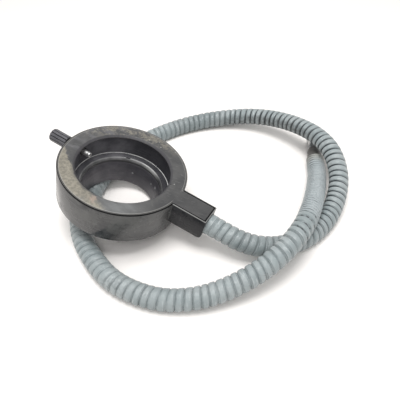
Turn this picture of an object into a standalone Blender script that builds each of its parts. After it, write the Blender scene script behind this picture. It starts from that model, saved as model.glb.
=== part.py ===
"""Fibre-optic ring light for a stereo microscope, lying tilted on its own ribbed light guide.

Metres, +Z up. The origin is under the middle of the ring and arm, on the surface that they lie on.
Pieces of the ring are modelled in the ring's own frame, whose Z is the optical axis and whose X
runs along the arm; an empty carries that frame to where it leans. The light guide is laid in the
world frame, from the arm's end to its ferrule.
"""

import math

import bmesh
import bpy
import numpy as np
from mathutils import Matrix, Vector

# Fits and facets
GAP = 0.0003
OVERRUN = 0.002
WELD = 1e-7
SEGMENTS = 48
SMALL_SEGMENTS = 20
SHARP_ANGLE = math.radians(35)

# Body, from the bore outwards
BORE_RADIUS = 0.033
PLATE_LAND = 0.0019
SLEEVE_WALL = 0.002
CAVITY_WIDTH = 0.0047
BODY_WALL = 0.0034
RIM_WIDTH = 0.0009
BODY_HEIGHT = 0.0268
FLOOR_THICKNESS = 0.0022
PLATE_THICKNESS = 0.0022
TOP_ARRIS = 0.0005
FOOT_ARRIS = 0.001
BORE_CHAMFER_SHARE = 0.73

SLEEVE_RADIUS = BORE_RADIUS + PLATE_LAND
SLEEVE_OUTER = SLEEVE_RADIUS + SLEEVE_WALL
CAVITY_RADIUS = SLEEVE_OUTER + CAVITY_WIDTH
BODY_RADIUS = CAVITY_RADIUS + BODY_WALL
RECESS_RADIUS = BODY_RADIUS - RIM_WIDTH
PLATE_UNDERSIDE = BODY_HEIGHT - PLATE_THICKNESS
SHELF_HEIGHT = PLATE_UNDERSIDE - GAP

# Nose, below the body
NOSE_STEP = 0.0008
NOSE_DEPTH = 0.013
NOSE_TAPER = 0.0018
NOSE_WALL = 0.0012
NOSE_FLARE = 0.0004
SLOT_WIDTH = 0.0019
CORE_WALL = 0.00135
POTTING_DEPTH = 0.0015
POTTING_RECESS = 0.0001

# Skirt, ledge and retaining ring, stacked on the body's floor
SKIRT_THICKNESS = 0.0035
LEDGE_THICKNESS = 0.0022
RETAINER_LIP = 0.0002
RETAINER_WIDTH = 0.0017
RETAINER_LAND = 0.0003
RETAINER_HEIGHT = 0.0037
RETAINER_RISE = 0.0001
NOTCH_WIDTH = 0.0032
NOTCH_DEPTH = 0.0009
NOTCH_ANGLE = math.radians(115)
RETAINER_STEPS = 4

SKIRT_BOTTOM = FLOOR_THICKNESS + GAP
SKIRT_TOP = SKIRT_BOTTOM + SKIRT_THICKNESS
LEDGE_BOTTOM = SKIRT_TOP + GAP
LEDGE_TOP = LEDGE_BOTTOM + LEDGE_THICKNESS
RETAINER_TOP = LEDGE_TOP + RETAINER_RISE
RETAINER_BOTTOM = RETAINER_TOP - RETAINER_HEIGHT
CORE_TOP = RETAINER_BOTTOM - GAP

# Countersunk screws that hold the sleeve from below
SLEEVE_SCREWS = 3
SLEEVE_SCREW_START = math.radians(60)
SLEEVE_SCREW_RADIUS = 0.001
SLEEVE_SCREW_LENGTH = 0.006
SLEEVE_SCREW_RECESS = 0.00015
HEAD_OVERHANG = 0.0009
BOSS_WALL = 0.0008
SOCKET_SHARE = 0.55
SOCKET_DEPTH_SHARE = 0.7

BOSS_RADIUS = SLEEVE_SCREW_RADIUS + GAP + BOSS_WALL
HEAD_RADIUS = SLEEVE_SCREW_RADIUS + HEAD_OVERHANG

# Arm
ARM_LENGTH = 0.025
ARM_WIDTH = 0.0172
ARM_HEIGHT = 0.0174
ARM_WALL = 0.002
ARM_RIM = 0.0012
ARM_TOE = 0.003
ARM_TOE_STEPS = 4
END_BLOCK = 0.014
SCOOP_DEPTH = 0.0008

ARM_END = BODY_RADIUS + ARM_LENGTH
ARM_BOTTOM = BODY_HEIGHT - ARM_HEIGHT
ARM_AXIS_HEIGHT = ARM_BOTTOM + ARM_HEIGHT / 2
CHANNEL_HALF = ARM_WIDTH / 2 - ARM_WALL
CHANNEL_FLOOR = ARM_BOTTOM + ARM_WALL
CHANNEL_END = ARM_END - END_BLOCK
RECESS_HALF = ARM_WIDTH / 2 - ARM_RIM
SCOOP_FACE = ARM_END - SCOOP_DEPTH

# Fibre bundle, its clamp and the hose anchor
BUNDLE_RADIUS = 0.0034
BUNDLE_TAIL = 0.001
CLAMP_LENGTH = 0.0075
CLAMP_SETBACK = 0.001
CLAMP_HEADROOM = 0.0008
GRUB_RADIUS = 0.0015
GRUB_SINK = 0.0005
ANCHOR_WALL = 0.0012
ANCHOR_INSET = 0.002
FLANGE_OVERHANG = 0.0007
FLANGE_THICKNESS = 0.0012
SPIGOT_WALL = 0.0005
SPIGOT_LENGTH = 0.012

TUBE_BORE = BUNDLE_RADIUS + GAP
ANCHOR_RADIUS = TUBE_BORE + ANCHOR_WALL
FLANGE_RADIUS = ANCHOR_RADIUS + FLANGE_OVERHANG
SPIGOT_RADIUS = TUBE_BORE + SPIGOT_WALL
CLAMP_END = CHANNEL_END - CLAMP_SETBACK
CLAMP_START = CLAMP_END - CLAMP_LENGTH
BUNDLE_START = CLAMP_START - BUNDLE_TAIL
ANCHOR_START = CHANNEL_END + ANCHOR_INSET
FLANGE_BACK = SCOOP_FACE - FLANGE_THICKNESS

# Spread fibres round the cavity
FAN_START = math.radians(15)
FAN_END = math.radians(168)
FAN_STEPS = 12
FAN_TALL_SHARE = 0.78
FAN_LOW_SHARE = 0.17

# Clamp screw, opposite the arm
SCREW_DROP = 0.0075
STUD_RADIUS = 0.002
PAD_REACH = 0.0045
PAD_RADIUS = 0.0017
PAD_THICKNESS = 0.0016
PIN_RADIUS = 0.0007
PIN_LENGTH = 0.0015
BUSH_WALL = 0.0007
BUSH_FLANGE = 0.0012
BUSH_FLANGE_THICKNESS = 0.0006
KNOB_RADIUS = 0.0050
KNOB_LENGTH = 0.0147
KNOB_STANDOFF = 0.0026
KNOB_CAP = 0.0045
KNOB_ROUND = 0.0016
KNOB_CHAMFER = 0.0005
FLUTES = 12
FLUTE_DEPTH = 0.00035
KNOB_SECTION_SHARES = ((0.0, 0.88), (1.0, 1.0))
KNOB_DOME_SHARES = ((0.0, 1.0), (0.6, 0.92), (1.0, 0.66))

SCREW_HEIGHT = BODY_HEIGHT - SCREW_DROP
BUSH_BORE = STUD_RADIUS + GAP
BUSH_RADIUS = BUSH_BORE + BUSH_WALL
PAD_FACE = BORE_RADIUS - PAD_REACH
PAD_BACK = PAD_FACE + PAD_THICKNESS
KNOB_START = BODY_RADIUS + KNOB_STANDOFF
KNOB_END = KNOB_START + KNOB_LENGTH
KNOB_BORE_END = KNOB_END - KNOB_CAP

# Light guide and its far end
HOSE_DIAMETER = 0.0149
HOSE_SEAT_SHARE = 0.4
HOSE_ARC_STEPS = 2
RIB_PITCH = 0.0052
GROOVE_DEPTH = 0.00097
FINE_STRETCH = 0.09
FINE_RIB_PITCH = 0.0028
FINE_GROOVE_DEPTH = 0.0006
BORE_STEP = 0.012
COLLAR_RADIUS = 0.006
COLLAR_LENGTH = 0.012
COLLAR_ROUND = 0.0006
FERRULE_RADIUS = 0.0055
FERRULE_LENGTH = 0.02
FERRULE_CHAMFER = 0.0005
FERRULE_SPIGOT = 0.01
FACE_THICKNESS = 0.001
FACE_RECESS = 0.0002

HOSE_RADIUS = HOSE_DIAMETER / 2
HOSE_SIDES = 4 + 2 * HOSE_ARC_STEPS
HOSE_BORE = (SPIGOT_RADIUS + GAP) / math.cos(math.pi / HOSE_SIDES)
LAID = HOSE_SEAT_SHARE * HOSE_DIAMETER
HOSE_START = SCOOP_FACE + GAP
END_HEIGHT = COLLAR_RADIUS + GAP
END_HEADING = math.radians(91)

# Route of the light guide's centre, by hand, from past the arm to its far end
HOSE_ROUTE = (
    (0.0872, -0.0315, 0.0132),
    (0.1026, -0.0291, 0.0096),
    (0.1175, -0.0217, 0.0071),
    (0.1320, -0.0092, LAID),
    (0.1444, 0.0098, 0.0064),
    (0.1515, 0.0313, 0.0106),
    (0.1524, 0.0503, 0.0160),
    (0.1473, 0.0698, 0.0208),
    (0.1364, 0.0876, 0.0221),
    (0.1212, 0.1038, 0.0200),
    (0.1035, 0.1172, 0.0162),
    (0.0835, 0.1250, 0.0126),
    (0.0625, 0.1263, 0.0096),
    (0.0415, 0.1223, 0.0076),
    (0.0220, 0.1140, 0.0064),
    (0.0045, 0.1016, LAID),
    (-0.0108, 0.0862, LAID),
    (-0.0225, 0.0690, LAID),
    (-0.0310, 0.0500, LAID),
    (-0.0362, 0.0290, LAID),
    (-0.0381, 0.0080, LAID),
    (-0.0394, -0.0130, LAID),
    (-0.0307, -0.0336, LAID),
    (-0.0164, -0.0518, LAID),
    (-0.0004, -0.0657, LAID),
    (0.0175, -0.0738, LAID),
    (0.0380, -0.0769, LAID),
    (0.0590, -0.0736, 0.0076),
    (0.0785, -0.0653, 0.0110),
    (0.0960, -0.0538, 0.0160),
    (0.1105, -0.0392, 0.0208),
    (0.1215, -0.0210, 0.0226),
    (0.1282, -0.0010, 0.0202),
    (0.1328, 0.0195, 0.0150),
    (0.1362, 0.0400, 0.0098),
    (0.1381, 0.0595, END_HEIGHT),
)
ROUTE_STEPS = 24
SELF_GAP_STEP = 0.002
SELF_GAP_SKIP = 4 * HOSE_DIAMETER

# How the ring lies: one edge of its nose on the surface, its other side on the light guide
RING_X = -0.01007
SEAT_REACH = 0.022
ARM_HEADING = math.radians(-19.5)

# Colour, roughness and metallic of each finish
LOOKS = {
    "satin_black": ((0.030, 0.031, 0.035), 0.42, 0.2),
    "worn_plate": ((0.105, 0.098, 0.082), 0.38, 0.5),
    "bore_black": ((0.018, 0.018, 0.021), 0.35, 0.2),
    "nose_grey": ((0.085, 0.080, 0.092), 0.40, 0.6),
    "bright_steel": ((0.62, 0.62, 0.63), 0.22, 1.0),
    "steel": ((0.45, 0.45, 0.46), 0.30, 1.0),
    "screw_black": ((0.020, 0.020, 0.022), 0.35, 0.8),
    "fibre": ((0.55, 0.56, 0.52), 0.30, 0.0),
    "fibre_polished": ((0.60, 0.63, 0.60), 0.10, 0.0),
    "clamp_aluminium": ((0.55, 0.56, 0.58), 0.35, 1.0),
    "knob_black": ((0.015, 0.015, 0.017), 0.45, 0.0),
    "hose_grey": ((0.36, 0.41, 0.42), 0.45, 0.0),
    "collar_brown": ((0.17, 0.14, 0.12), 0.45, 0.3),
}


def nose_outer(height):
    """Radius of the nose cone's outside at a height in the ring's frame, zero at its root."""
    return BORE_RADIUS - NOSE_STEP + NOSE_TAPER * height / NOSE_DEPTH


def nose_inner(height):
    """Radius of the nose wall's inside, the outer side of the fibre slot."""
    return nose_outer(height) - NOSE_WALL


def core_outer(height):
    """Radius of the core's outside, the inner side of the fibre slot."""
    return nose_inner(height) - SLOT_WIDTH


def core_inner(height):
    """Radius of the core's bore."""
    return core_outer(height) - CORE_WALL


RETAINER_INNER = core_inner(CORE_TOP) + RETAINER_LIP
RETAINER_OUTER = RETAINER_INNER + RETAINER_WIDTH
LEDGE_RADIUS = RETAINER_OUTER + GAP
SCREW_CIRCLE = (nose_outer(0) + SLEEVE_OUTER) / 2


def add_finish(name, look):
    """A Principled material of its own for one piece."""
    colour, roughness, metallic = LOOKS[look]
    made = bpy.data.materials.new(name)
    made.use_nodes = True
    shader = made.node_tree.nodes["Principled BSDF"]
    shader.inputs["Base Color"].default_value = (*colour, 1)
    shader.inputs["Roughness"].default_value = roughness
    shader.inputs["Metallic"].default_value = metallic
    return made


def add_frame(name, matrix, parent=None):
    """An empty that carries the frame of the pieces under it."""
    frame = bpy.data.objects.new(name, None)
    bpy.context.scene.collection.objects.link(frame)
    frame.parent = parent
    frame.matrix_local = matrix
    return frame


def add_piece(name, form, frame, look):
    """A smooth-shaded object from a bmesh, in its frame."""
    mesh = bpy.data.meshes.new(name)
    form.to_mesh(mesh)
    form.free()
    mesh.shade_smooth()
    mesh.set_sharp_from_angle(angle=SHARP_ANGLE)
    mesh.materials.append(add_finish(name, look))
    piece = bpy.data.objects.new(name, mesh)
    bpy.context.scene.collection.objects.link(piece)
    piece.parent = frame
    return piece


def add_guide(name, form, frame):
    """A shape that only cuts or joins another."""
    mesh = bpy.data.meshes.new(name)
    form.to_mesh(mesh)
    form.free()
    guide = bpy.data.objects.new(name, mesh)
    bpy.context.scene.collection.objects.link(guide)
    guide.parent = frame
    guide.hide_render = True
    guide.display_type = "WIRE"
    return guide


def combine(piece, guide, operation):
    """A Boolean of a piece with a guide shape."""
    modifier = piece.modifiers.new(guide.name, "BOOLEAN")
    modifier.operation = operation
    modifier.solver = "EXACT"
    modifier.object = guide


def cut(piece, name, form, frame):
    """Takes a shape out of a piece."""
    combine(piece, add_guide(name, form, frame), "DIFFERENCE")


def turned(outline, segments=SEGMENTS):
    """A solid of revolution about Z from (radius, height) points, hollow unless it starts on the axis."""
    form = bmesh.new()
    points = [form.verts.new((radius, 0, height)) for radius, height in outline]
    edges = [form.edges.new(pair) for pair in zip(points, points[1:])]
    if outline[0][0] > 0:
        edges.append(form.edges.new((points[-1], points[0])))
    bmesh.ops.spin(
        form,
        geom=points + edges,
        cent=(0, 0, 0),
        axis=(0, 0, 1),
        angle=math.tau,
        steps=segments,
        use_merge=True,
    )
    bmesh.ops.remove_doubles(form, verts=form.verts, dist=WELD)
    bmesh.ops.recalc_face_normals(form, faces=form.faces)
    return form


def rod(radius, low, high, segments=SMALL_SEGMENTS):
    """A plain cylinder along Z."""
    return turned(((0, low), (radius, low), (radius, high), (0, high)), segments)


def box(low, high):
    """A box between two corners."""
    form = bmesh.new()
    low = Vector(low)
    high = Vector(high)
    bmesh.ops.create_cube(form, size=1)
    bmesh.ops.scale(form, vec=high - low, verts=form.verts)
    bmesh.ops.translate(form, vec=(low + high) / 2, verts=form.verts)
    return form


def lofted(sections):
    """A closed solid through sections of equal point counts."""
    form = bmesh.new()
    rings = [[form.verts.new(point) for point in section] for section in sections]
    for ring, following in zip(rings, rings[1:]):
        for index in range(len(ring)):
            after = (index + 1) % len(ring)
            form.faces.new((ring[index], ring[after], following[after], following[index]))
    form.faces.new(rings[0])
    form.faces.new(rings[-1])
    bmesh.ops.recalc_face_normals(form, faces=form.faces)
    return form


def around(radius, angle, height):
    """A point in the ring's frame from its polar place."""
    return Vector((radius * math.cos(angle), radius * math.sin(angle), height))


def make_housing(ring, arm_axis, thumb_axis):
    """Round body, arm and nose wall in one piece, open at the top for the plate."""
    outline = (
        (nose_outer(-NOSE_DEPTH), -NOSE_DEPTH),
        (nose_outer(0), 0),
        (BODY_RADIUS - FOOT_ARRIS, 0),
        (BODY_RADIUS, FOOT_ARRIS),
        (BODY_RADIUS, BODY_HEIGHT - TOP_ARRIS),
        (BODY_RADIUS - TOP_ARRIS, BODY_HEIGHT),
        (RECESS_RADIUS, BODY_HEIGHT),
        (RECESS_RADIUS, SHELF_HEIGHT),
        (CAVITY_RADIUS, SHELF_HEIGHT),
        (CAVITY_RADIUS, FLOOR_THICKNESS),
        (nose_inner(0) + NOSE_FLARE, FLOOR_THICKNESS),
        (nose_inner(0), 0),
        (nose_inner(-NOSE_DEPTH), -NOSE_DEPTH),
    )
    housing = add_piece("housing", turned(outline), ring, "satin_black")
    arm = add_guide("arm_block", arm_block(), ring)
    bevel = arm.modifiers.new("arris", "BEVEL")
    bevel.width = TOP_ARRIS
    bevel.segments = 1
    combine(housing, arm, "UNION")
    channel = box(
        (SLEEVE_OUTER, -CHANNEL_HALF, CHANNEL_FLOOR),
        (CHANNEL_END, CHANNEL_HALF, BODY_HEIGHT + OVERRUN),
    )
    cut(housing, "channel_cut", channel, ring)
    recess = box(
        (SLEEVE_OUTER, -RECESS_HALF, SHELF_HEIGHT),
        (ARM_END - ARM_RIM, RECESS_HALF, BODY_HEIGHT + OVERRUN),
    )
    cut(housing, "recess_cut", recess, ring)
    cut(housing, "anchor_cut", anchor_seat(), arm_axis)
    for name, reach in (("clamp", clamp_middle()), ("anchor", anchor_middle())):
        hole = add_guide(name + "_screw_cut", grub_hole(), ring)
        hole.location.x = reach
        combine(housing, hole, "DIFFERENCE")
    for number in range(SLEEVE_SCREWS):
        hole = add_guide(f"sleeve_screw_cut_{number + 1}", countersink(), ring)
        hole.location = sleeve_screw_place(number)
        combine(housing, hole, "DIFFERENCE")
    bush_hole = rod(BUSH_RADIUS + GAP, CAVITY_RADIUS - BODY_WALL, BODY_RADIUS + OVERRUN)
    cut(housing, "bush_cut", bush_hole, thumb_axis)


def arm_block():
    """The arm as a solid block, its inner corners within the body's rim, its lower end edge rounded."""
    half = ARM_WIDTH / 2
    start = math.sqrt((BODY_RADIUS - RIM_WIDTH / 2) ** 2 - half**2)
    side = [(start, BODY_HEIGHT), (start, ARM_BOTTOM)]
    for step in range(ARM_TOE_STEPS + 1):
        turn = math.pi / 2 * step / ARM_TOE_STEPS
        side.append(
            (
                ARM_END - ARM_TOE + ARM_TOE * math.sin(turn),
                ARM_BOTTOM + ARM_TOE - ARM_TOE * math.cos(turn),
            )
        )
    side.append((ARM_END, BODY_HEIGHT))
    return lofted([[(x, y, z) for x, z in side] for y in (-half, half)])


def anchor_seat():
    """What the hose anchor needs cut out of the arm's end, along the arm's axis."""
    return turned(
        (
            (0, CHANNEL_END - OVERRUN),
            (ANCHOR_RADIUS + GAP, CHANNEL_END - OVERRUN),
            (ANCHOR_RADIUS + GAP, FLANGE_BACK - GAP),
            (FLANGE_RADIUS + GAP, FLANGE_BACK - GAP),
            (FLANGE_RADIUS + GAP, SCOOP_FACE),
            (HOSE_RADIUS + GAP, SCOOP_FACE),
            (HOSE_RADIUS + GAP, ARM_END + OVERRUN),
            (0, ARM_END + OVERRUN),
        ),
        SMALL_SEGMENTS,
    )


def grub_hole():
    """A hole from under the arm up to the bundle's axis."""
    return rod(GRUB_RADIUS + GAP, ARM_BOTTOM - OVERRUN, ARM_AXIS_HEIGHT - TUBE_BORE / 2)


def clamp_middle():
    """How far out the clamp's screw stands."""
    return (CLAMP_START + CLAMP_END) / 2


def anchor_middle():
    """How far out the anchor's screw stands."""
    return (ANCHOR_START + FLANGE_BACK) / 2


def sleeve_screw_place(number):
    """Where a sleeve screw's axis meets the body's underside."""
    turn = SLEEVE_SCREW_START + math.tau * number / SLEEVE_SCREWS
    return around(SCREW_CIRCLE, turn, 0)


def countersink():
    """A hole with its countersink, open below."""
    shank = SLEEVE_SCREW_RADIUS + GAP
    head = HEAD_RADIUS + GAP
    cone_top = SLEEVE_SCREW_RECESS + head - shank
    return turned(
        (
            (0, -OVERRUN),
            (head, -OVERRUN),
            (head, SLEEVE_SCREW_RECESS),
            (shank, cone_top),
            (shank, FLOOR_THICKNESS + OVERRUN),
            (0, FLOOR_THICKNESS + OVERRUN),
        ),
        SMALL_SEGMENTS,
    )


def make_cover_plate(ring):
    """Top plate with the objective bore and a tongue over the arm."""
    radius = RECESS_RADIUS - GAP
    half = RECESS_HALF - GAP
    end = ARM_END - ARM_RIM - GAP
    tongue = math.asin(half / radius)
    step = math.tau / SEGMENTS
    inner_steps = [n * step for n in range(SEGMENTS) if tongue < n * step < math.tau - tongue]
    outline = [(end, half)]
    outline += [
        (radius * math.cos(turn), radius * math.sin(turn))
        for turn in [tongue, *inner_steps, math.tau - tongue]
    ]
    outline.append((end, -half))
    sections = [[(x, y, z) for x, y in outline] for z in (PLATE_UNDERSIDE, BODY_HEIGHT)]
    plate = add_piece("cover_plate", lofted(sections), ring, "worn_plate")
    chamfer = BORE_CHAMFER_SHARE * PLATE_THICKNESS
    bore = (
        (0, PLATE_UNDERSIDE - OVERRUN),
        (BORE_RADIUS, PLATE_UNDERSIDE - OVERRUN),
        (BORE_RADIUS, BODY_HEIGHT - chamfer),
        (BORE_RADIUS + chamfer + OVERRUN, BODY_HEIGHT + OVERRUN),
        (0, BODY_HEIGHT + OVERRUN),
    )
    cut(plate, "bore_cut", turned(bore), ring)


def make_bore_sleeve(ring, thumb_axis):
    """Wall of the bore with the ledge at its foot, on three bosses."""
    outline = (
        (LEDGE_RADIUS, LEDGE_BOTTOM),
        (SLEEVE_OUTER, LEDGE_BOTTOM),
        (SLEEVE_OUTER, SHELF_HEIGHT),
        (SLEEVE_RADIUS, SHELF_HEIGHT),
        (SLEEVE_RADIUS, LEDGE_TOP),
        (LEDGE_RADIUS, LEDGE_TOP),
    )
    sleeve = add_piece("bore_sleeve", turned(outline), ring, "bore_black")
    screw_top = SLEEVE_SCREW_RECESS + SLEEVE_SCREW_LENGTH
    for number in range(SLEEVE_SCREWS):
        boss_form = rod(BOSS_RADIUS, SKIRT_BOTTOM, LEDGE_BOTTOM + LEDGE_THICKNESS / 2)
        boss = add_guide(f"boss_{number + 1}", boss_form, ring)
        boss.location = sleeve_screw_place(number)
        combine(sleeve, boss, "UNION")
        hole_form = rod(SLEEVE_SCREW_RADIUS + GAP, -OVERRUN, screw_top + GAP)
        hole = add_guide(f"boss_hole_{number + 1}", hole_form, ring)
        hole.location = sleeve_screw_place(number)
        combine(sleeve, hole, "DIFFERENCE")
    bush_hole = rod(BUSH_RADIUS + GAP, SLEEVE_RADIUS - OVERRUN, SLEEVE_OUTER + OVERRUN)
    cut(sleeve, "sleeve_bush_cut", bush_hole, thumb_axis)


def make_sleeve_screws(ring):
    """Countersunk socket screws from the underside."""
    top = SLEEVE_SCREW_RECESS + SLEEVE_SCREW_LENGTH
    outline = (
        (0, SLEEVE_SCREW_RECESS),
        (HEAD_RADIUS, SLEEVE_SCREW_RECESS),
        (SLEEVE_SCREW_RADIUS, SLEEVE_SCREW_RECESS + HEAD_OVERHANG),
        (SLEEVE_SCREW_RADIUS, top),
        (0, top),
    )
    for number in range(SLEEVE_SCREWS):
        name = f"sleeve_screw_{number + 1}"
        screw = add_piece(name, turned(outline, SMALL_SEGMENTS), ring, "screw_black")
        screw.location = sleeve_screw_place(number)
        socket = hex_socket(HEAD_RADIUS, SLEEVE_SCREW_RECESS, HEAD_OVERHANG)
        guide = add_guide(name + "_socket", socket, ring)
        guide.location = sleeve_screw_place(number)
        combine(screw, guide, "DIFFERENCE")


def hex_socket(radius, face, depth):
    """A hexagonal recess that opens downwards."""
    top = face + SOCKET_DEPTH_SHARE * depth
    return rod(SOCKET_SHARE * radius, face - OVERRUN, top, segments=6)


def make_retaining_ring(ring):
    """Rounded ring in the ledge, with a spanner notch."""
    rise = RETAINER_HEIGHT
    run = RETAINER_WIDTH - RETAINER_LAND
    outline = [(RETAINER_OUTER, RETAINER_BOTTOM), (RETAINER_OUTER, RETAINER_TOP)]
    for step in range(RETAINER_STEPS + 1):
        turn = math.pi / 2 * step / RETAINER_STEPS
        outline.append(
            (
                RETAINER_INNER + run * (1 - math.sin(turn)),
                RETAINER_BOTTOM + rise * math.cos(turn),
            )
        )
    piece = add_piece("retaining_ring", turned(outline), ring, "bore_black")
    notch_form = box(
        (RETAINER_INNER - OVERRUN, -NOTCH_WIDTH / 2, RETAINER_TOP - NOTCH_DEPTH),
        (RETAINER_OUTER + OVERRUN, NOTCH_WIDTH / 2, RETAINER_TOP + OVERRUN),
    )
    notch = add_guide("notch_cut", notch_form, ring)
    notch.rotation_euler.z = NOTCH_ANGLE
    combine(piece, notch, "DIFFERENCE")


def make_nose(ring):
    """Core cone, and the potted fibre ends between it and the nose wall."""
    core = (
        (core_inner(-NOSE_DEPTH), -NOSE_DEPTH),
        (core_outer(-NOSE_DEPTH), -NOSE_DEPTH),
        (core_outer(CORE_TOP), CORE_TOP),
        (core_inner(CORE_TOP), CORE_TOP),
    )
    add_piece("nose_core", turned(core), ring, "nose_grey")
    low = -NOSE_DEPTH + POTTING_RECESS
    high = low + POTTING_DEPTH
    potting = (
        (core_outer(low) + GAP, low),
        (nose_inner(low) - GAP, low),
        (nose_inner(high) - GAP, high),
        (core_outer(high) + GAP, high),
    )
    add_piece("fibre_end_ring", turned(potting), ring, "fibre_polished")


def make_fibre_skirt(ring):
    """Fibres laid over the body's floor and down into the slot."""
    low = -NOSE_DEPTH + POTTING_RECESS + POTTING_DEPTH + GAP
    throat = CORE_TOP - GAP
    inner = RETAINER_OUTER + 2 * GAP
    outline = (
        (core_outer(low) + GAP, low),
        (nose_inner(low) - GAP, low),
        (nose_inner(0) - GAP, 0),
        (nose_inner(0) + NOSE_FLARE - GAP, SKIRT_BOTTOM),
        (CAVITY_RADIUS - GAP, SKIRT_BOTTOM),
        (CAVITY_RADIUS - GAP, SKIRT_TOP),
        (inner, SKIRT_TOP),
        (inner, throat),
        (core_outer(throat) + GAP, throat),
    )
    skirt = add_piece("fibre_skirt", turned(outline), ring, "fibre")
    for number in range(SLEEVE_SCREWS):
        hole_form = rod(BOSS_RADIUS + GAP, 0, SKIRT_TOP + OVERRUN)
        hole = add_guide(f"skirt_hole_{number + 1}", hole_form, ring)
        hole.location = sleeve_screw_place(number)
        combine(skirt, hole, "DIFFERENCE")


def make_fibre_fan(ring, name, side):
    """Half of the bundle, spread from the arm round one side of the cavity."""
    step = (FAN_END - FAN_START) / FAN_STEPS
    inner = (SLEEVE_OUTER + GAP) / math.cos(step / 2)
    outer = CAVITY_RADIUS * math.cos(math.pi / SEGMENTS) - GAP
    low = SKIRT_TOP + GAP
    room = SHELF_HEIGHT - low
    entry = BUNDLE_START - GAP
    entry_low = CHANNEL_FLOOR + GAP
    entry_top = low + FAN_TALL_SHARE * room
    entry_wide = CHANNEL_HALF - 2 * GAP
    entry_deep = inner / math.cos(FAN_START / 2)
    entry_corner = math.sqrt((outer - GAP) ** 2 - entry_wide**2)
    sections = [
        fan_section((entry, GAP), (entry, entry_wide), entry_low, entry_top, side),
        fan_section((entry_deep, GAP), (entry_corner, entry_wide), entry_low, entry_top, side),
    ]
    for number in range(FAN_STEPS + 1):
        turn = FAN_START + number * step
        share = FAN_TALL_SHARE + (FAN_LOW_SHARE - FAN_TALL_SHARE) * number / FAN_STEPS
        direction = (math.cos(turn), math.sin(turn))
        near = [inner * part for part in direction]
        far = [outer * part for part in direction]
        sections.append(fan_section(near, far, low, low + share * room, side))
    add_piece(name, lofted(sections), ring, "fibre")


def fan_section(near, far, low, high, side):
    """Four corners of a fan's section, mirrored for one side."""
    corners = ((near, low), (far, low), (far, high), (near, high))
    return [(place[0], side * place[1], height) for place, height in corners]


def make_bundle_clamp(ring, arm_axis):
    """Block that grips the bundle in the arm's channel."""
    half = CHANNEL_HALF - GAP
    form = box(
        (CLAMP_START, -half, CHANNEL_FLOOR + GAP),
        (CLAMP_END, half, SHELF_HEIGHT - CLAMP_HEADROOM),
    )
    clamp = add_piece("bundle_clamp", form, ring, "clamp_aluminium")
    bundle_hole = rod(TUBE_BORE, CLAMP_START - OVERRUN, CLAMP_END + OVERRUN)
    cut(clamp, "clamp_bore_cut", bundle_hole, arm_axis)
    hole = add_guide("clamp_grub_cut", grub_hole(), ring)
    hole.location.x = clamp_middle()
    combine(clamp, hole, "DIFFERENCE")


def make_grub_screw(ring, name, reach, top):
    """A socket grub screw from under the arm."""
    low = ARM_BOTTOM + GRUB_SINK
    screw = add_piece(name, rod(GRUB_RADIUS, low, top), ring, "screw_black")
    screw.location.x = reach
    socket = add_guide(name + "_socket", hex_socket(GRUB_RADIUS, low, GRUB_RADIUS), ring)
    socket.location.x = reach
    combine(screw, socket, "DIFFERENCE")


def make_hose_anchor(arm_axis):
    """Turned fitting in the arm's end, whose spigot enters the hose."""
    outline = (
        (TUBE_BORE, ANCHOR_START),
        (ANCHOR_RADIUS, ANCHOR_START),
        (ANCHOR_RADIUS, FLANGE_BACK),
        (FLANGE_RADIUS, FLANGE_BACK),
        (FLANGE_RADIUS, SCOOP_FACE),
        (SPIGOT_RADIUS, SCOOP_FACE),
        (SPIGOT_RADIUS, SCOOP_FACE + SPIGOT_LENGTH),
        (TUBE_BORE, SCOOP_FACE + SPIGOT_LENGTH),
    )
    add_piece("hose_anchor", turned(outline, SMALL_SEGMENTS), arm_axis, "steel")


def make_screw_bush(thumb_axis):
    """Threaded bush through the body's wall to the sleeve."""
    flange = BUSH_RADIUS + BUSH_FLANGE
    wall = BODY_RADIUS + GAP
    end = wall + BUSH_FLANGE_THICKNESS
    outline = (
        (BUSH_BORE, SLEEVE_RADIUS + GAP),
        (BUSH_RADIUS, SLEEVE_RADIUS + GAP),
        (BUSH_RADIUS, wall),
        (flange, wall),
        (flange, end),
        (BUSH_BORE, end),
    )
    add_piece("screw_bush", turned(outline, SMALL_SEGMENTS), thumb_axis, "screw_black")


def make_thumb_screw(thumb_axis):
    """Stud, the pad that swivels on its tip, and the fluted knob."""
    start = PAD_BACK + GAP
    socket = PAD_BACK + PIN_LENGTH + GAP
    stud = (
        (0, socket),
        (PIN_RADIUS + GAP, socket),
        (PIN_RADIUS + GAP, start),
        (STUD_RADIUS, start),
        (STUD_RADIUS, KNOB_BORE_END - GAP),
        (0, KNOB_BORE_END - GAP),
    )
    add_piece("thumb_stud", turned(stud, SMALL_SEGMENTS), thumb_axis, "bright_steel")
    pad = (
        (0, PAD_FACE),
        (PAD_RADIUS, PAD_FACE),
        (PAD_RADIUS, PAD_BACK),
        (PIN_RADIUS, PAD_BACK),
        (PIN_RADIUS, PAD_BACK + PIN_LENGTH),
        (0, PAD_BACK + PIN_LENGTH),
    )
    add_piece("pressure_pad", turned(pad, SMALL_SEGMENTS), thumb_axis, "steel")
    sections = [
        fluted(KNOB_START + share * KNOB_CHAMFER, size)
        for share, size in KNOB_SECTION_SHARES
    ]
    sections += [
        fluted(KNOB_END - KNOB_ROUND + share * KNOB_ROUND, size)
        for share, size in KNOB_DOME_SHARES
    ]
    knob = add_piece("thumb_knob", lofted(sections), thumb_axis, "knob_black")
    bore = rod(STUD_RADIUS + GAP, KNOB_START - OVERRUN, KNOB_BORE_END)
    cut(knob, "knob_bore_cut", bore, thumb_axis)


def fluted(height, size):
    """One section of the knob: three points a flute, one of them down in the groove."""
    count = 3 * FLUTES
    section = []
    for number in range(count):
        depth = FLUTE_DEPTH if number % 3 == 0 else 0
        section.append(around(size * (KNOB_RADIUS - depth), math.tau * number / count, height))
    return section


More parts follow.
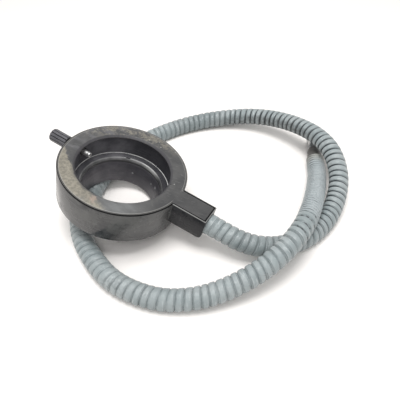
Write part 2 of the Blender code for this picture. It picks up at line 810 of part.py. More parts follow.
def route_curve(points, start_pull, end_pull):
    """Closely spaced points of a smooth curve through the route's points."""
    points = [np.array(point) for point in points]
    pulls = [start_pull * np.linalg.norm(points[1] - points[0])]
    pulls += [(after - before) / 2 for before, after in zip(points, points[2:])]
    pulls.append(end_pull * np.linalg.norm(points[-1] - points[-2]))
    curve = []
    for index in range(len(points) - 1):
        for step in range(ROUTE_STEPS):
            t = step / ROUTE_STEPS
            curve.append(
                (2 * t**3 - 3 * t**2 + 1) * points[index]
                + (t**3 - 2 * t**2 + t) * pulls[index]
                + (3 * t**2 - 2 * t**3) * points[index + 1]
                + (t**3 - t**2) * pulls[index + 1]
            )
    curve.append(points[-1])
    return curve


def along(curve, distances):
    """Points of a curve at distances from its start."""
    curve = np.array(curve)
    lengths = np.linalg.norm(np.diff(curve, axis=0), axis=1)
    travelled = np.concatenate([[0], np.cumsum(lengths)])
    return np.stack([np.interp(distances, travelled, curve[:, axis]) for axis in range(3)], axis=1)


def curve_length(curve):
    """Length of a run of points."""
    return float(np.linalg.norm(np.diff(np.array(curve), axis=0), axis=1).sum())


def rib_stations(length):
    """Distance and radius of each ring of the hose, a groove and a crest to each rib."""
    coarse = round((length - FINE_STRETCH) / RIB_PITCH)
    fine = round(FINE_STRETCH / FINE_RIB_PITCH)
    coarse_pitch = (length - FINE_STRETCH) / coarse
    fine_pitch = FINE_STRETCH / fine
    stations = []
    for number in range(coarse):
        start = number * coarse_pitch
        stations.append((start, HOSE_RADIUS - GROOVE_DEPTH))
        stations.append((start + coarse_pitch / 2, HOSE_RADIUS))
    for number in range(fine):
        start = length - FINE_STRETCH + number * fine_pitch
        stations.append((start, HOSE_RADIUS - FINE_GROOVE_DEPTH))
        stations.append((start + fine_pitch / 2, HOSE_RADIUS))
    stations.append((length, HOSE_RADIUS - FINE_GROOVE_DEPTH))
    print(f"Hose ribs: {coarse + fine}, on a length of {length:.4f} m")
    return stations


def tube(points, radii):
    """A closed tube as a bmesh, from a bevelled curve whose sides keep Z up."""
    widest = max(radii)
    curve = bpy.data.curves.new("tube", "CURVE")
    curve.dimensions = "3D"
    curve.bevel_depth = widest
    curve.bevel_resolution = HOSE_ARC_STEPS
    curve.use_fill_caps = True
    curve.twist_mode = "Z_UP"
    spline = curve.splines.new("POLY")
    spline.points.add(len(points) - 1)
    for knot, point, radius in zip(spline.points, points, radii):
        knot.co = (*point, 1)
        knot.radius = radius / widest
    holder = bpy.data.objects.new("tube", curve)
    bpy.context.scene.collection.objects.link(holder)
    holder_now = holder.evaluated_get(bpy.context.evaluated_depsgraph_get())
    mesh = bpy.data.meshes.new_from_object(holder_now)
    form = bmesh.new()
    form.from_mesh(mesh)
    bmesh.ops.remove_doubles(form, verts=form.verts, dist=WELD)
    bmesh.ops.recalc_face_normals(form, faces=form.faces)
    bpy.data.objects.remove(holder)
    bpy.data.curves.remove(curve)
    bpy.data.meshes.remove(mesh)
    return form


def print_self_gap(curve):
    """Measures the least gap between strands of the hose that are far apart along it."""
    length = curve_length(curve)
    distances = np.arange(0, length, SELF_GAP_STEP)
    points = along(curve, distances)
    between = np.linalg.norm(points[:, None] - points[None], axis=2)
    far = np.abs(distances[:, None] - distances[None]) > SELF_GAP_SKIP
    print(f"Least gap of the hose to itself: {between[far].min() - HOSE_DIAMETER:.5f} m")


def make_light_guide(exit_point, exit_direction, end_direction):
    """Ribbed hose with its bore, cut flat where it lies, and the bundle inside it."""
    first = exit_point + HOSE_DIAMETER * exit_direction
    last = np.array(HOSE_ROUTE[-1])
    hose_end = last + HOSE_DIAMETER * end_direction
    middle = route_curve([first, *HOSE_ROUTE], exit_direction, end_direction)
    curve = [exit_point, *middle, hose_end]
    length = curve_length(curve)
    stations = rib_stations(length)
    distances = [distance for distance, _ in stations]
    radii = [radius for _, radius in stations]
    ribbed = tube(along(curve, distances), radii)
    hose = add_piece("light_guide_hose", ribbed, None, "hose_grey")
    steps = round(length / BORE_STEP)
    core = list(along(curve, np.linspace(0, length, steps + 1)))
    bore_points = [
        exit_point - OVERRUN * exit_direction,
        *core[1:-1],
        hose_end + OVERRUN * end_direction,
    ]
    cut(hose, "hose_bore_cut", tube(bore_points, [HOSE_BORE] * len(bore_points)), None)
    reach = np.abs(np.array(curve)).max() + HOSE_DIAMETER
    floor = box((-reach, -reach, -HOSE_DIAMETER), (reach, reach, 0))
    cut(hose, "surface_cut", floor, None)
    bundle_points = [
        exit_point - (HOSE_START - BUNDLE_START) * exit_direction,
        *core[1:-1],
        hose_end + (face_start() - GAP) * end_direction,
    ]
    bundle = tube(bundle_points, [BUNDLE_RADIUS] * len(bundle_points))
    add_piece("fibre_bundle", bundle, None, "fibre")
    print_self_gap(curve)
    return hose_end


def face_start():
    """Where the polished face starts, past the hose's end."""
    return GAP + COLLAR_LENGTH + GAP + FERRULE_LENGTH - FACE_RECESS - FACE_THICKNESS


def make_far_end(far_axis):
    """Collar, ferrule and polished fibre face at the light guide's far end."""
    collar_end = GAP + COLLAR_LENGTH
    collar_bore = SPIGOT_RADIUS + GAP
    collar = (
        (collar_bore, GAP),
        (COLLAR_RADIUS - COLLAR_ROUND, GAP),
        (COLLAR_RADIUS, GAP + COLLAR_ROUND),
        (COLLAR_RADIUS, collar_end - COLLAR_ROUND),
        (COLLAR_RADIUS - COLLAR_ROUND, collar_end),
        (collar_bore, collar_end),
    )
    add_piece("ferrule_collar", turned(collar, SMALL_SEGMENTS), far_axis, "collar_brown")
    shoulder = collar_end + GAP
    end = shoulder + FERRULE_LENGTH
    ferrule = (
        (TUBE_BORE, -FERRULE_SPIGOT),
        (SPIGOT_RADIUS, -FERRULE_SPIGOT),
        (SPIGOT_RADIUS, shoulder),
        (FERRULE_RADIUS, shoulder),
        (FERRULE_RADIUS, end - FERRULE_CHAMFER),
        (FERRULE_RADIUS - FERRULE_CHAMFER, end),
        (TUBE_BORE, end),
    )
    add_piece("end_ferrule", turned(ferrule, SMALL_SEGMENTS), far_axis, "steel")
    face = rod(TUBE_BORE - GAP, face_start(), face_start() + FACE_THICKNESS)
    add_piece("fibre_face", face, far_axis, "fibre_polished")


def ring_pose():
    """Where the ring's frame stands: leaning back on the light guide from its nose's front edge."""
    tip = nose_outer(-NOSE_DEPTH)
    reach = tip + SEAT_REACH
    drop = HOSE_RADIUS + GAP
    lean = math.asin(LAID / math.hypot(reach, drop)) + math.atan2(drop, reach)
    turn = Matrix.Rotation(lean, 4, "Y") @ Matrix.Rotation(ARM_HEADING, 4, "Z")
    lift = tip * math.sin(lean) + NOSE_DEPTH * math.cos(lean)
    return Matrix.Translation((RING_X, 0, lift)) @ turn


def axis_frame(height, direction):
    """A frame at a height on the optical axis, its Z along a direction square to that axis."""
    return Matrix.Translation((0, 0, height)) @ direction.to_track_quat("Z", "Y").to_matrix().to_4x4()


def main():
    """Builds every piece."""
    for old in list(bpy.data.objects):
        bpy.data.objects.remove(old)
    pose = ring_pose()
    ring = add_frame("ring_frame", pose)
    arm_axis = add_frame("arm_axis", axis_frame(ARM_AXIS_HEIGHT, Vector((1, 0, 0))), ring)
    thumb_axis = add_frame("thumb_axis", axis_frame(SCREW_HEIGHT, Vector((-1, 0, 0))), ring)
    make_housing(ring, arm_axis, thumb_axis)
    make_cover_plate(ring)
    make_bore_sleeve(ring, thumb_axis)
    make_sleeve_screws(ring)
    make_retaining_ring(ring)
    make_nose(ring)
    make_fibre_skirt(ring)
    make_fibre_fan(ring, "fibre_fan_left", 1)
    make_fibre_fan(ring, "fibre_fan_right", -1)
    make_bundle_clamp(ring, arm_axis)
    clamp_top = ARM_AXIS_HEIGHT - TUBE_BORE
    make_grub_screw(ring, "clamp_grub_screw", clamp_middle(), clamp_top)
    anchor_low = ARM_AXIS_HEIGHT - ANCHOR_RADIUS - GAP
    make_grub_screw(ring, "anchor_grub_screw", anchor_middle(), anchor_low)
    make_hose_anchor(arm_axis)
    make_screw_bush(thumb_axis)
    make_thumb_screw(thumb_axis)
    exit_point = np.array(pose @ Vector((HOSE_START, 0, ARM_AXIS_HEIGHT)))
    exit_direction = np.array(pose.to_3x3() @ Vector((1, 0, 0)))
    end_direction = np.array((math.cos(END_HEADING), math.sin(END_HEADING), 0))
    hose_end = make_light_guide(exit_point, exit_direction, end_direction)
    far_turn = Vector(end_direction).to_track_quat("Z", "Y").to_matrix().to_4x4()
    make_far_end(add_frame("far_axis", Matrix.Translation(hose_end) @ far_turn))


main()
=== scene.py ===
"""Fibre-optic ring light of a stereo microscope, lying tilted on its own ribbed light guide."""

import math

import bpy
import numpy as np
from mathutils import Matrix, Vector


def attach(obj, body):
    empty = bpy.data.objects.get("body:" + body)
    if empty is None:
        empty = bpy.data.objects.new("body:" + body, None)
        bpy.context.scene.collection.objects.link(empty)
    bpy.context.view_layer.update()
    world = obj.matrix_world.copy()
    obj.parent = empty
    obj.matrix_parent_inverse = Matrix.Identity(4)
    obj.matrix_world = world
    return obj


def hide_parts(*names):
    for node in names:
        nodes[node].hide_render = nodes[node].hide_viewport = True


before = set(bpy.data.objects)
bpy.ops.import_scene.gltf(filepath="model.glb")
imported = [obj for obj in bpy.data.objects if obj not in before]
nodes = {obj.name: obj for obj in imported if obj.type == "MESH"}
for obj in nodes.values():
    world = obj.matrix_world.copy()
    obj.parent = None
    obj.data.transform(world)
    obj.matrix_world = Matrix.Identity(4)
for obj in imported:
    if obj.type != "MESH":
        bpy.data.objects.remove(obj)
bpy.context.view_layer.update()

# Camera
# Where the photographer stood: in front, to the right and above, with a normal lens.
CAMERA_PLACE = Vector((0.08288, -0.21627, 0.23172))
CAMERA_RIGHT = Vector((0.99045, 0.13691, -0.01641))
CAMERA_DOWN = Vector((0.08362, -0.69099, -0.71801))
CAMERA_FORWARD = Vector((-0.10964, 0.70978, -0.69584))

lens = bpy.data.cameras.new("camera")
lens.lens = 37.8
lens.sensor_width = 36
lens.clip_start = 0.01
lens.clip_end = 20
camera = bpy.data.objects.new("camera", lens)
bpy.context.scene.collection.objects.link(camera)
turn = Matrix((CAMERA_RIGHT, -CAMERA_DOWN, -CAMERA_FORWARD)).transposed().to_4x4()
camera.matrix_world = Matrix.Translation(CAMERA_PLACE) @ turn
bpy.context.scene.camera = camera
bpy.context.scene.view_settings.view_transform = "Standard"

# Light guide
# Interlocked steel hose under a pale blue-grey plastic cover, which follows each turn of the steel
# band: a helix of broad ribs with narrow creases. Its last stretch is a finer, flatter hose.
HOSE_DIAMETER = 0.0149
HOSE_BORE = 0.0046
HOSE_SIDES = 44
LEFT_HANDED = -1
RIGHT_HANDED = 1
HOSE_SKIN = 0.0001
RIB_PITCH = 0.0052
CREASE = 0.00105
FINE_STRETCH = 0.09
FINE_RIB_PITCH = 0.0028
FINE_CREASE = 0.001
RIB_WANDER = 0.00024
SLOW_WANDER = 0.00018
BORE_STEP = 0.01
WELD = 1e-6
RIB_SHAPE_SHARES = (
    (0.0, 1.0),
    (0.05, 0.8),
    (0.1, 0.46),
    (0.15, 0.17),
    (0.2, 0.27),
    (0.26, 0.08),
    (0.37, 0.02),
    (0.5, 0.0),
    (0.66, 0.02),
    (0.8, 0.12),
    (0.9, 0.4),
    (0.96, 0.8),
)
LAID = 0.00596

# Stretches along the hose that are darker, each easing in and out again: grime and painted crease
# shade in the far loop, grime and painted shade on the rear's underside, and painted shade near the
# arm and under the ring.
FAR_LOOP = ((0.06, 0.1), (0.25, 0.31))
REAR = ((0.17, 0.21), (0.27, 0.31))
SHADE_NEAR_ARM = ((0.014, 0.026), (0.05, 0.07))
SHADE_UNDER_RING = ((0.28, 0.3), (0.33, 0.35))

# The way the hose lies, from the arm to its far end. LAID is its middle's height on the floor.
ROUTE = (
    (0.0872, -0.0315, 0.0132),
    (0.1026, -0.0291, 0.0096),
    (0.1175, -0.0217, 0.0071),
    (0.1320, -0.0092, LAID),
    (0.1444, 0.0098, 0.0064),
    (0.1515, 0.0313, 0.0106),
    (0.1524, 0.0503, 0.0160),
    (0.1473, 0.0698, 0.0208),
    (0.1364, 0.0876, 0.0221),
    (0.1212, 0.1038, 0.0200),
    (0.1035, 0.1172, 0.0162),
    (0.0835, 0.1250, 0.0126),
    (0.0625, 0.1263, 0.0096),
    (0.0415, 0.1223, 0.0076),
    (0.0220, 0.1140, 0.0064),
    (0.0045, 0.1016, LAID),
    (-0.0108, 0.0862, LAID),
    (-0.0225, 0.0690, LAID),
    (-0.0310, 0.0500, LAID),
    (-0.0362, 0.0290, LAID),
    (-0.0381, 0.0080, LAID),
    (-0.0394, -0.0130, LAID),
    (-0.0307, -0.0336, LAID),
    (-0.0164, -0.0518, LAID),
    (-0.0004, -0.0657, LAID),
    (0.0175, -0.0738, LAID),
    (0.0380, -0.0769, LAID),
    (0.0590, -0.0736, 0.0076),
    (0.0785, -0.0653, 0.0110),
    (0.0960, -0.0538, 0.0160),
    (0.1105, -0.0392, 0.0208),
    (0.1215, -0.0210, 0.0226),
    (0.1282, -0.0010, 0.0202),
    (0.1328, 0.0195, 0.0150),
    (0.1362, 0.0400, 0.0098),
    (0.1381, 0.0595, 0.0063),
)
ROUTE_STEPS = 24
END_HEADING = math.radians(91)

# How the ring lies: its optical axis leans, and its arm points to the right and to the front.
RING_LEAN = math.radians(14.8735)
ARM_HEADING = math.radians(-19.5)
RING_PLACE = Vector((-0.01007, 0, 0.0203677))
ARM_HEIGHT = 0.0181
HOSE_START = 0.0695

ring_turn = Matrix.Rotation(RING_LEAN, 4, "Y") @ Matrix.Rotation(ARM_HEADING, 4, "Z")
ring_pose = Matrix.Translation(RING_PLACE) @ ring_turn


def hose_line():
    """Closely spaced points of the hose's centreline, straight out of the arm and into the collar."""
    leaving = np.array(ring_turn.to_3x3() @ Vector((1, 0, 0)))
    ending = np.array((math.cos(END_HEADING), math.sin(END_HEADING), 0))
    outlet = np.array(ring_pose @ Vector((HOSE_START, 0, ARM_HEIGHT)))
    knots = [outlet + HOSE_DIAMETER * leaving, *(np.array(point) for point in ROUTE)]
    pulls = [leaving * np.linalg.norm(knots[1] - knots[0])]
    pulls += [(after - before) / 2 for before, after in zip(knots, knots[2:])]
    pulls.append(ending * np.linalg.norm(knots[-1] - knots[-2]))
    line = [outlet]
    for here, there, pull, next_pull in zip(knots, knots[1:], pulls, pulls[1:]):
        for step in range(ROUTE_STEPS):
            t = step / ROUTE_STEPS
            line.append(
                (2 * t**3 - 3 * t**2 + 1) * here
                + (t**3 - 2 * t**2 + t) * pull
                + (3 * t**2 - 2 * t**3) * there
                + (t**3 - t**2) * next_pull
            )
    return np.array([*line, knots[-1], knots[-1] + HOSE_DIAMETER * ending])


def travelled(line):
    """Distance of each point of a line from its start."""
    return np.concatenate([[0], np.cumsum(np.linalg.norm(np.diff(line, axis=0), axis=1))])


def only(piece):
    """Selects one object and makes it the active one."""
    bpy.ops.object.select_all(action="DESELECT")
    bpy.context.view_layer.objects.active = piece
    piece.select_set(True)


def wound_tube(name, line, turns, shape_shares, place_of, depth_of, radius, bore, sides, hand):
    """A closed tube whose mesh follows a helix of ribs, with a plain bore if it has one.

    shape_shares are (share of a turn, share of the crease's depth) over one rib. place_of gives
    the distance along the line for a count of turns, and depth_of the crease's depth for a count
    and an angle round the line. The helix is right-handed where hand is 1, left-handed where -1.
    """
    up = np.array((0.0, 0.0, 1.0))
    shares, falls = (list(column) for column in zip(*shape_shares))
    columns = np.arange(sides + 1)
    rows = np.concatenate([turn + np.array(shares) for turn in range(-1, turns + 1)])
    count = np.clip(rows[:, None] + columns[None] / sides, 0, turns)
    phase = np.mod(count - columns[None] / sides, 1)
    fall = np.interp(phase, [*shares, 1.0], [*falls, falls[0]])
    distance = place_of(count)
    angle = hand * math.tau * columns[None] / sides + 0 * distance
    out = radius - depth_of(count, angle) * fall
    along = travelled(line)
    slopes = np.gradient(line, along, axis=0)

    def at(where, values):
        return np.stack([np.interp(where, along, values[:, axis]) for axis in range(3)], axis=-1)

    def on_surface(where, out, angle):
        ahead = at(where, slopes)
        ahead /= np.linalg.norm(ahead, axis=-1, keepdims=True)
        side = np.cross(ahead, up)
        side /= np.linalg.norm(side, axis=-1, keepdims=True)
        lift = np.cross(side, ahead)
        return at(where, line) + out[..., None] * (
            np.cos(angle)[..., None] * lift + np.sin(angle)[..., None] * side
        )

    points = on_surface(distance, out, angle)
    facts = [distance, fall, np.sin(angle), np.cos(angle)]
    wide = sides + 1
    quads = []
    for row in range(len(rows) - 1):
        for column in range(sides):
            start = row * wide + column
            quads.append((start, start + 1, start + wide + 1, start + wide))
    flat = points.reshape(-1, 3)
    facts = [fact.reshape(-1) for fact in facts]
    if bore:
        inner_along = np.linspace(0, along[-1], max(2, round(along[-1] / BORE_STEP)))
        grid = np.repeat(inner_along[:, None], wide, axis=1)
        inner_angle = hand * math.tau * columns[None] / sides + 0 * grid
        inner = on_surface(grid, bore + 0 * grid, inner_angle)
        first = len(flat)
        for row in range(len(inner_along) - 1):
            for column in range(sides):
                start = first + row * wide + column
                quads.append((start, start + wide, start + wide + 1, start + 1))
        last = first + (len(inner_along) - 1) * wide
        final = (len(rows) - 1) * wide
        for column in range(sides):
            quads.append((column, first + column, first + column + 1, column + 1))
            quads.append((final + column, final + column + 1, last + column + 1, last + column))
        flat = np.concatenate([flat, inner.reshape(-1, 3)])
        extra = [grid, 1 + 0 * grid, np.sin(inner_angle), np.cos(inner_angle)]
        extra = [fact.reshape(-1) for fact in extra]
        facts = [np.concatenate(pair) for pair in zip(facts, extra)]
    else:
        final = (len(rows) - 1) * wide
        quads.append(tuple(range(sides - 1, -1, -1)))
        quads.append(tuple(final + column for column in range(sides)))
    mesh = bpy.data.meshes.new(name)
    mesh.from_pydata(flat.tolist(), [], quads)
    for label, fact in zip(("along", "fall", "side", "lift"), facts):
        stored = mesh.attributes.new(label, "FLOAT", "POINT")
        stored.data.foreach_set("value", fact.astype(np.float32))
    piece = bpy.data.objects.new(name, mesh)
    bpy.context.scene.collection.objects.link(piece)
    only(piece)
    bpy.ops.object.mode_set(mode="EDIT")
    bpy.ops.mesh.select_all(action="SELECT")
    bpy.ops.mesh.remove_doubles(threshold=WELD)
    bpy.ops.mesh.dissolve_degenerate(threshold=WELD)
    bpy.ops.mesh.normals_make_consistent(inside=False)
    bpy.ops.object.mode_set(mode="OBJECT")
    bpy.ops.object.shade_smooth_by_angle(angle=math.radians(50))
    return piece


def node(tree, kind, inputs=(), **settings):
    """A node with its settings, and its inputs as values or as the sockets that feed them."""
    made = tree.nodes.new(kind)
    for name, value in settings.items():
        setattr(made, name, value)
    for name, value in dict(inputs).items():
        if isinstance(value, bpy.types.NodeSocket):
            tree.links.new(value, made.inputs[name])
        else:
            made.inputs[name].default_value = value
    return made


def ramp(tree, value, low, high, start=0.0, end=1.0):
    """A value eased from start to end as another goes from low to high."""
    made = node(
        tree,
        "ShaderNodeMapRange",
        {"Value": value, "From Min": low, "From Max": high, "To Min": start, "To Max": end},
        interpolation_type="SMOOTHSTEP",
    )
    return made.outputs["Result"]


def math_of(tree, operation, *values):
    """A sum, product or other small operation on sockets and numbers."""
    made = node(tree, "ShaderNodeMath", dict(enumerate(values)), operation=operation)
    return made.outputs[0]


def times(tree, first, second):
    """The product of two sockets or numbers."""
    return math_of(tree, "MULTIPLY", first, second)


def plus(tree, first, second):
    """The sum of two sockets or numbers."""
    return math_of(tree, "ADD", first, second)


def larger(tree, first, second):
    """The larger of two sockets or numbers."""
    return math_of(tree, "MAXIMUM", first, second)


def between(tree, value, rise, fall):
    """1 between two stretches of a value, easing up from 0 over the first, down over the second."""
    return times(tree, ramp(tree, value, *rise), ramp(tree, value, fall[1], fall[0]))


def mix(tree, share, first, second):
    """A colour between two, each four numbers or a socket."""
    made = node(tree, "ShaderNodeMix", {0: share, 6: first, 7: second}, data_type="RGBA")
    return made.outputs[2]


def tinted(tree, colour, share, tint, strength=1.0):
    """A colour with some of a tint laid over it, as far as a share says."""
    if strength < 1:
        share = times(tree, share, strength)
    return mix(tree, share, colour, (*tint, 1))


def object_place(tree):
    """Object coordinates, in metres in the shared frame."""
    return node(tree, "ShaderNodeTexCoord").outputs["Object"]


def stretched(tree, place, scale, rotation=(0, 0, 0)):
    """A place turned and scaled, so that a pattern on it runs in lines."""
    made = node(
        tree, "ShaderNodeMapping", {"Vector": place, "Rotation": rotation, "Scale": scale}
    )
    return made.outputs["Vector"]


def noise(tree, place, scale, detail=4.0, roughness=0.55):
    """Noise at a place, from 0 to 1."""
    made = node(
        tree,
        "ShaderNodeTexNoise",
        {"Vector": place, "Scale": scale, "Detail": detail, "Roughness": roughness},
    )
    return made.outputs["Fac"]


def new_finish(name, **inputs):
    """A material and its Principled shader, with the constant values set on the shader."""
    made = bpy.data.materials.new(name)
    made.use_nodes = True
    shader = made.node_tree.nodes["Principled BSDF"]
    for label, value in inputs.items():
        shader.inputs[label.replace("_", " ").title().replace("Ior", "IOR")].default_value = value
    return made, made.node_tree, shader


def bumped(tree, height, strength, depth):
    """A normal from a height, as deep as given in metres."""
    made = node(
        tree, "ShaderNodeBump", {"Strength": strength, "Distance": depth, "Height": height}
    )
    return made.outputs["Normal"]


def feed(tree, shader, colour, roughness=None, bump=None):
    """Links a colour to the shader, and a roughness and a bump from the values of ramp and bumped."""
    tree.links.new(colour, shader.inputs["Base Color"])
    if roughness:
        tree.links.new(ramp(tree, *roughness), shader.inputs["Roughness"])
    if bump:
        tree.links.new(bumped(tree, *bump), shader.inputs["Normal"])


centreline = hose_line()
hose_length = float(travelled(centreline)[-1])
coarse_ribs = round((hose_length - FINE_STRETCH) / RIB_PITCH)
fine_ribs = round(FINE_STRETCH / FINE_RIB_PITCH)


def rib_place(count):
    """Distance along the hose of a rib count, with ribs that vary a little in width."""
    even = np.interp(
        count,
        (0, coarse_ribs, coarse_ribs + fine_ribs),
        (0, hose_length - FINE_STRETCH, hose_length),
    )
    wander = RIB_WANDER * np.sin(1.7 * count) + SLOW_WANDER * np.sin(0.61 * count + 1.3)
    ends = np.clip(np.minimum(count, coarse_ribs + fine_ribs - count) / 3, 0, 1)
    return even + wander * ends * np.where(count < coarse_ribs, 1, 0.4)


def crease_depth(count, angle):
    """Depth of the crease: shallow at the arm, and a little uneven from rib to rib.

    It is deeper on the inner side of the far loop, and on one side of the fine stretch.
    """
    inner_side = np.clip(-np.sin(angle), 0, 1)
    side_share = 1 + 0.1 * inner_side * np.interp(count, (12, 20, 60, 70), (0, 1, 1, 0))
    side_share += (1.2 * inner_side - 0.45) * (count > coarse_ribs)
    depth = np.interp(
        count,
        (0, 0.9, 2.2, coarse_ribs - 0.5, coarse_ribs + 0.5, coarse_ribs + fine_ribs),
        (0.15 * CREASE, 0.3 * CREASE, CREASE, CREASE, FINE_CREASE, FINE_CREASE),
    )
    uneven = 0.95 + 0.12 * np.sin(0.83 * count) + 0.1 * np.sin(9.31 * count + 0.4)
    return side_share * depth * (uneven + 0.08 * np.sin(23.7 * count))


hose = wound_tube(
    "ribbed_light_guide",
    centreline,
    coarse_ribs + fine_ribs,
    RIB_SHAPE_SHARES,
    rib_place,
    crease_depth,
    HOSE_DIAMETER / 2 - HOSE_SKIN,
    HOSE_BORE,
    HOSE_SIDES,
    LEFT_HANDED,
)
for vertex in hose.data.vertices:
    vertex.co.z = max(vertex.co.z, 0)

cover, tree, shader = new_finish("ribbed_cover", ior=1.46)
place = object_place(tree)
along, fall, side, lift = (
    node(tree, "ShaderNodeAttribute", attribute_name=label).outputs["Fac"]
    for label in ("along", "fall", "side", "lift")
)
skin = node(tree, "ShaderNodeCombineXYZ", {
    "X": times(tree, along, 3.0),
    "Y": times(tree, side, HOSE_DIAMETER / 4),
    "Z": times(tree, lift, HOSE_DIAMETER / 4),
}).outputs["Vector"]
cloud = noise(tree, place, 45.0)
patch = noise(tree, place, 190.0, 6.0, 0.62)
grime = noise(tree, place, 620.0, 5.0, 0.7)
wrinkle = noise(tree, skin, 150.0, 4.0, 0.6)
body_colour = mix(tree, ramp(tree, cloud, 0.35, 0.65), (0.268, 0.308, 0.315, 1), (0.362, 0.4, 0.405, 1))
# Lighter patches on the rib crests: wear, and a painted highlight where light falls on them.
crest_wear_and_highlight = times(tree, ramp(tree, wrinkle, 0.56, 0.72), ramp(tree, fall, 0.3, 0.0))
body_colour = tinted(tree, body_colour, crest_wear_and_highlight, (0.6, 0.64, 0.64), 0.5)
fine_end = ramp(tree, along, hose_length - FINE_STRETCH - 0.004, hose_length - FINE_STRETCH + 0.004)
body_colour = tinted(tree, body_colour, fine_end, (0.39, 0.43, 0.445), 0.7)
tip = ramp(tree, along, hose_length - 0.012, hose_length - 0.002)
body_colour = tinted(tree, body_colour, tip, (0.36, 0.35, 0.31), 0.7)
far_loop = between(tree, along, *FAR_LOOP)
# Painted shade: the hose is darker near the arm and where it runs under the ring.
painted_shade = larger(tree, between(tree, along, *SHADE_NEAR_ARM), between(tree, along, *SHADE_UNDER_RING))
body_colour = tinted(tree, body_colour, painted_shade, (0.15, 0.175, 0.18), 0.36)
# The lower, front-facing side of the hose, where it lies in shade.
flank = times(tree, ramp(tree, side, 0.1, -0.75), ramp(tree, lift, 0.9, 0.3))
rear = times(tree, between(tree, along, *REAR), flank)
end_flank = times(tree, fine_end, ramp(tree, side, -0.1, -0.6, 0.5, 1.0))
# Darker creases in the far loop and on one flank of the fine stretch: grime, and painted crease shade.
crease_shade_and_grime = larger(tree, ramp(tree, far_loop, 0.0, 1.0, 0.22, 0.97), end_flank)
crease_shade_and_grime = times(tree, crease_shade_and_grime, ramp(tree, patch, 0.2, 0.5, 0.7, 1.0))
# Painted shade on the far loop's inner flank, where the strands shade each other, widens the dark creases.
shaded_inner_flank = times(tree, far_loop, ramp(tree, side, 0.1, -0.6))
spread = plus(tree, times(tree, rear, 0.12), times(tree, far_loop, 0.06))
spread = plus(tree, spread, times(tree, shaded_inner_flank, 0.31))
end_edge = times(tree, fine_end, ramp(tree, side, -0.3, -0.75))
spread = plus(tree, spread, times(tree, end_edge, 0.42))
deep = ramp(tree, plus(tree, fall, spread), 0.42, 1.0)
body_colour = tinted(tree, body_colour, times(tree, deep, crease_shade_and_grime), (0.04, 0.047, 0.052))
seam = between(tree, fall, (0.1, 0.18), (0.26, 0.34))
seam = times(tree, seam, ramp(tree, wrinkle, 0.4, 0.58, 0.0, 0.6))
seam = times(tree, seam, ramp(tree, fine_end, 0.0, 1.0, 1.0, 0.2))
body_colour = tinted(tree, body_colour, seam, (0.13, 0.15, 0.155))
blotch = times(tree, ramp(tree, patch, 0.38, 0.56), ramp(tree, grime, 0.36, 0.58))
# The rear arc's lower side: painted shade all over it, and grime in blotches.
soiling_and_shade = times(tree, rear, plus(tree, 0.3, times(tree, blotch, 0.55)))
light_soiling = times(tree, blotch, ramp(tree, cloud, 0.48, 0.7, 0.0, 0.3))
soiling_and_shade = larger(tree, soiling_and_shade, light_soiling)
body_colour = tinted(tree, body_colour, soiling_and_shade, (0.08, 0.085, 0.085))
tick_zone = between(
    tree, along, (hose_length - 0.112, hose_length - 0.104), (hose_length - 0.076, hose_length - 0.068)
)
ticks = times(tree, ramp(tree, patch, 0.48, 0.56), ramp(tree, fall, 0.25, 0.6))
ticks = times(tree, ticks, ramp(tree, tick_zone, 0.0, 1.0, 0.12, 1.0))
body_colour = tinted(tree, body_colour, ticks, (0.05, 0.056, 0.06))
cut_end = ramp(tree, along, hose_length - 0.0018, hose_length - 0.0008)
body_colour = tinted(tree, body_colour, cut_end, (0.02, 0.018, 0.016), 0.95)
pebble = noise(tree, place, 1100.0, 3.0, 0.6)
dents = plus(tree, times(tree, wrinkle, 0.7), times(tree, patch, 0.5))
dents = plus(tree, dents, times(tree, pebble, 0.6))
feed(tree, shader, body_colour, (patch, 0.32, 0.68, 0.1, 0.3), (dents, 1.0, 0.0006))
hose.data.materials.append(cover)

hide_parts("light_guide_hose")
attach(hose, "ring_light")

# Collar and ferrule
# The light guide's far end: a moulded grey-brown collar, then a turned steel ferrule with a groove
# for the light source's set screw, round the potted and polished fibres.
COLLAR_RADIUS = 0.006
COLLAR_BORE = 0.0045
COLLAR_START = 0.0003
COLLAR_END = 0.0123
COLLAR_LIP = 0.0014
COLLAR_STEP = 0.0006
COLLAR_ARRIS = 0.0003
FERRULE_RADIUS = 0.0055
FERRULE_BORE = 0.0037
FERRULE_START = 0.0126
FERRULE_END = 0.0326
FERRULE_GROOVE = 0.0208
GROOVE_WIDTH = 0.0034
GROOVE_DEPTH = 0.0006
FERRULE_ARRIS = 0.00015
SPIGOT_RADIUS = 0.0042
SPIGOT_START = -0.01


def turned(name, outline, steps=128, hollow=True):
    """A lathe-turned solid about Z: a circle drawn out along an outline of (radius, height).

    The outline closes on itself round a bore where the solid is hollow, and else has flat ends.
    """
    bpy.ops.object.select_all(action="DESELECT")
    radius, height = outline[0]
    bpy.ops.mesh.primitive_circle_add(vertices=steps, radius=radius, location=(0, 0, 0))
    piece = bpy.context.object
    piece.name = name
    bpy.ops.object.mode_set(mode="EDIT")
    bpy.ops.mesh.select_all(action="SELECT")
    bpy.ops.transform.translate(value=(0, 0, height))
    if not hollow:
        bpy.ops.mesh.edge_face_add()
        bpy.ops.mesh.select_mode(type="EDGE")
    following = [*outline[1:], outline[0]] if hollow else outline[1:]
    for next_radius, next_height in following:
        bpy.ops.mesh.extrude_edges_move(TRANSFORM_OT_translate={"value": (0, 0, next_height - height)})
        share = next_radius / radius
        bpy.ops.transform.resize(value=(share, share, 1), center_override=(0, 0, 0))
        radius, height = next_radius, next_height
    if not hollow:
        bpy.ops.mesh.edge_face_add()
    bpy.ops.mesh.select_all(action="SELECT")
    bpy.ops.mesh.remove_doubles(threshold=WELD)
    bpy.ops.mesh.normals_make_consistent(inside=False)
    bpy.ops.object.mode_set(mode="OBJECT")
    return piece


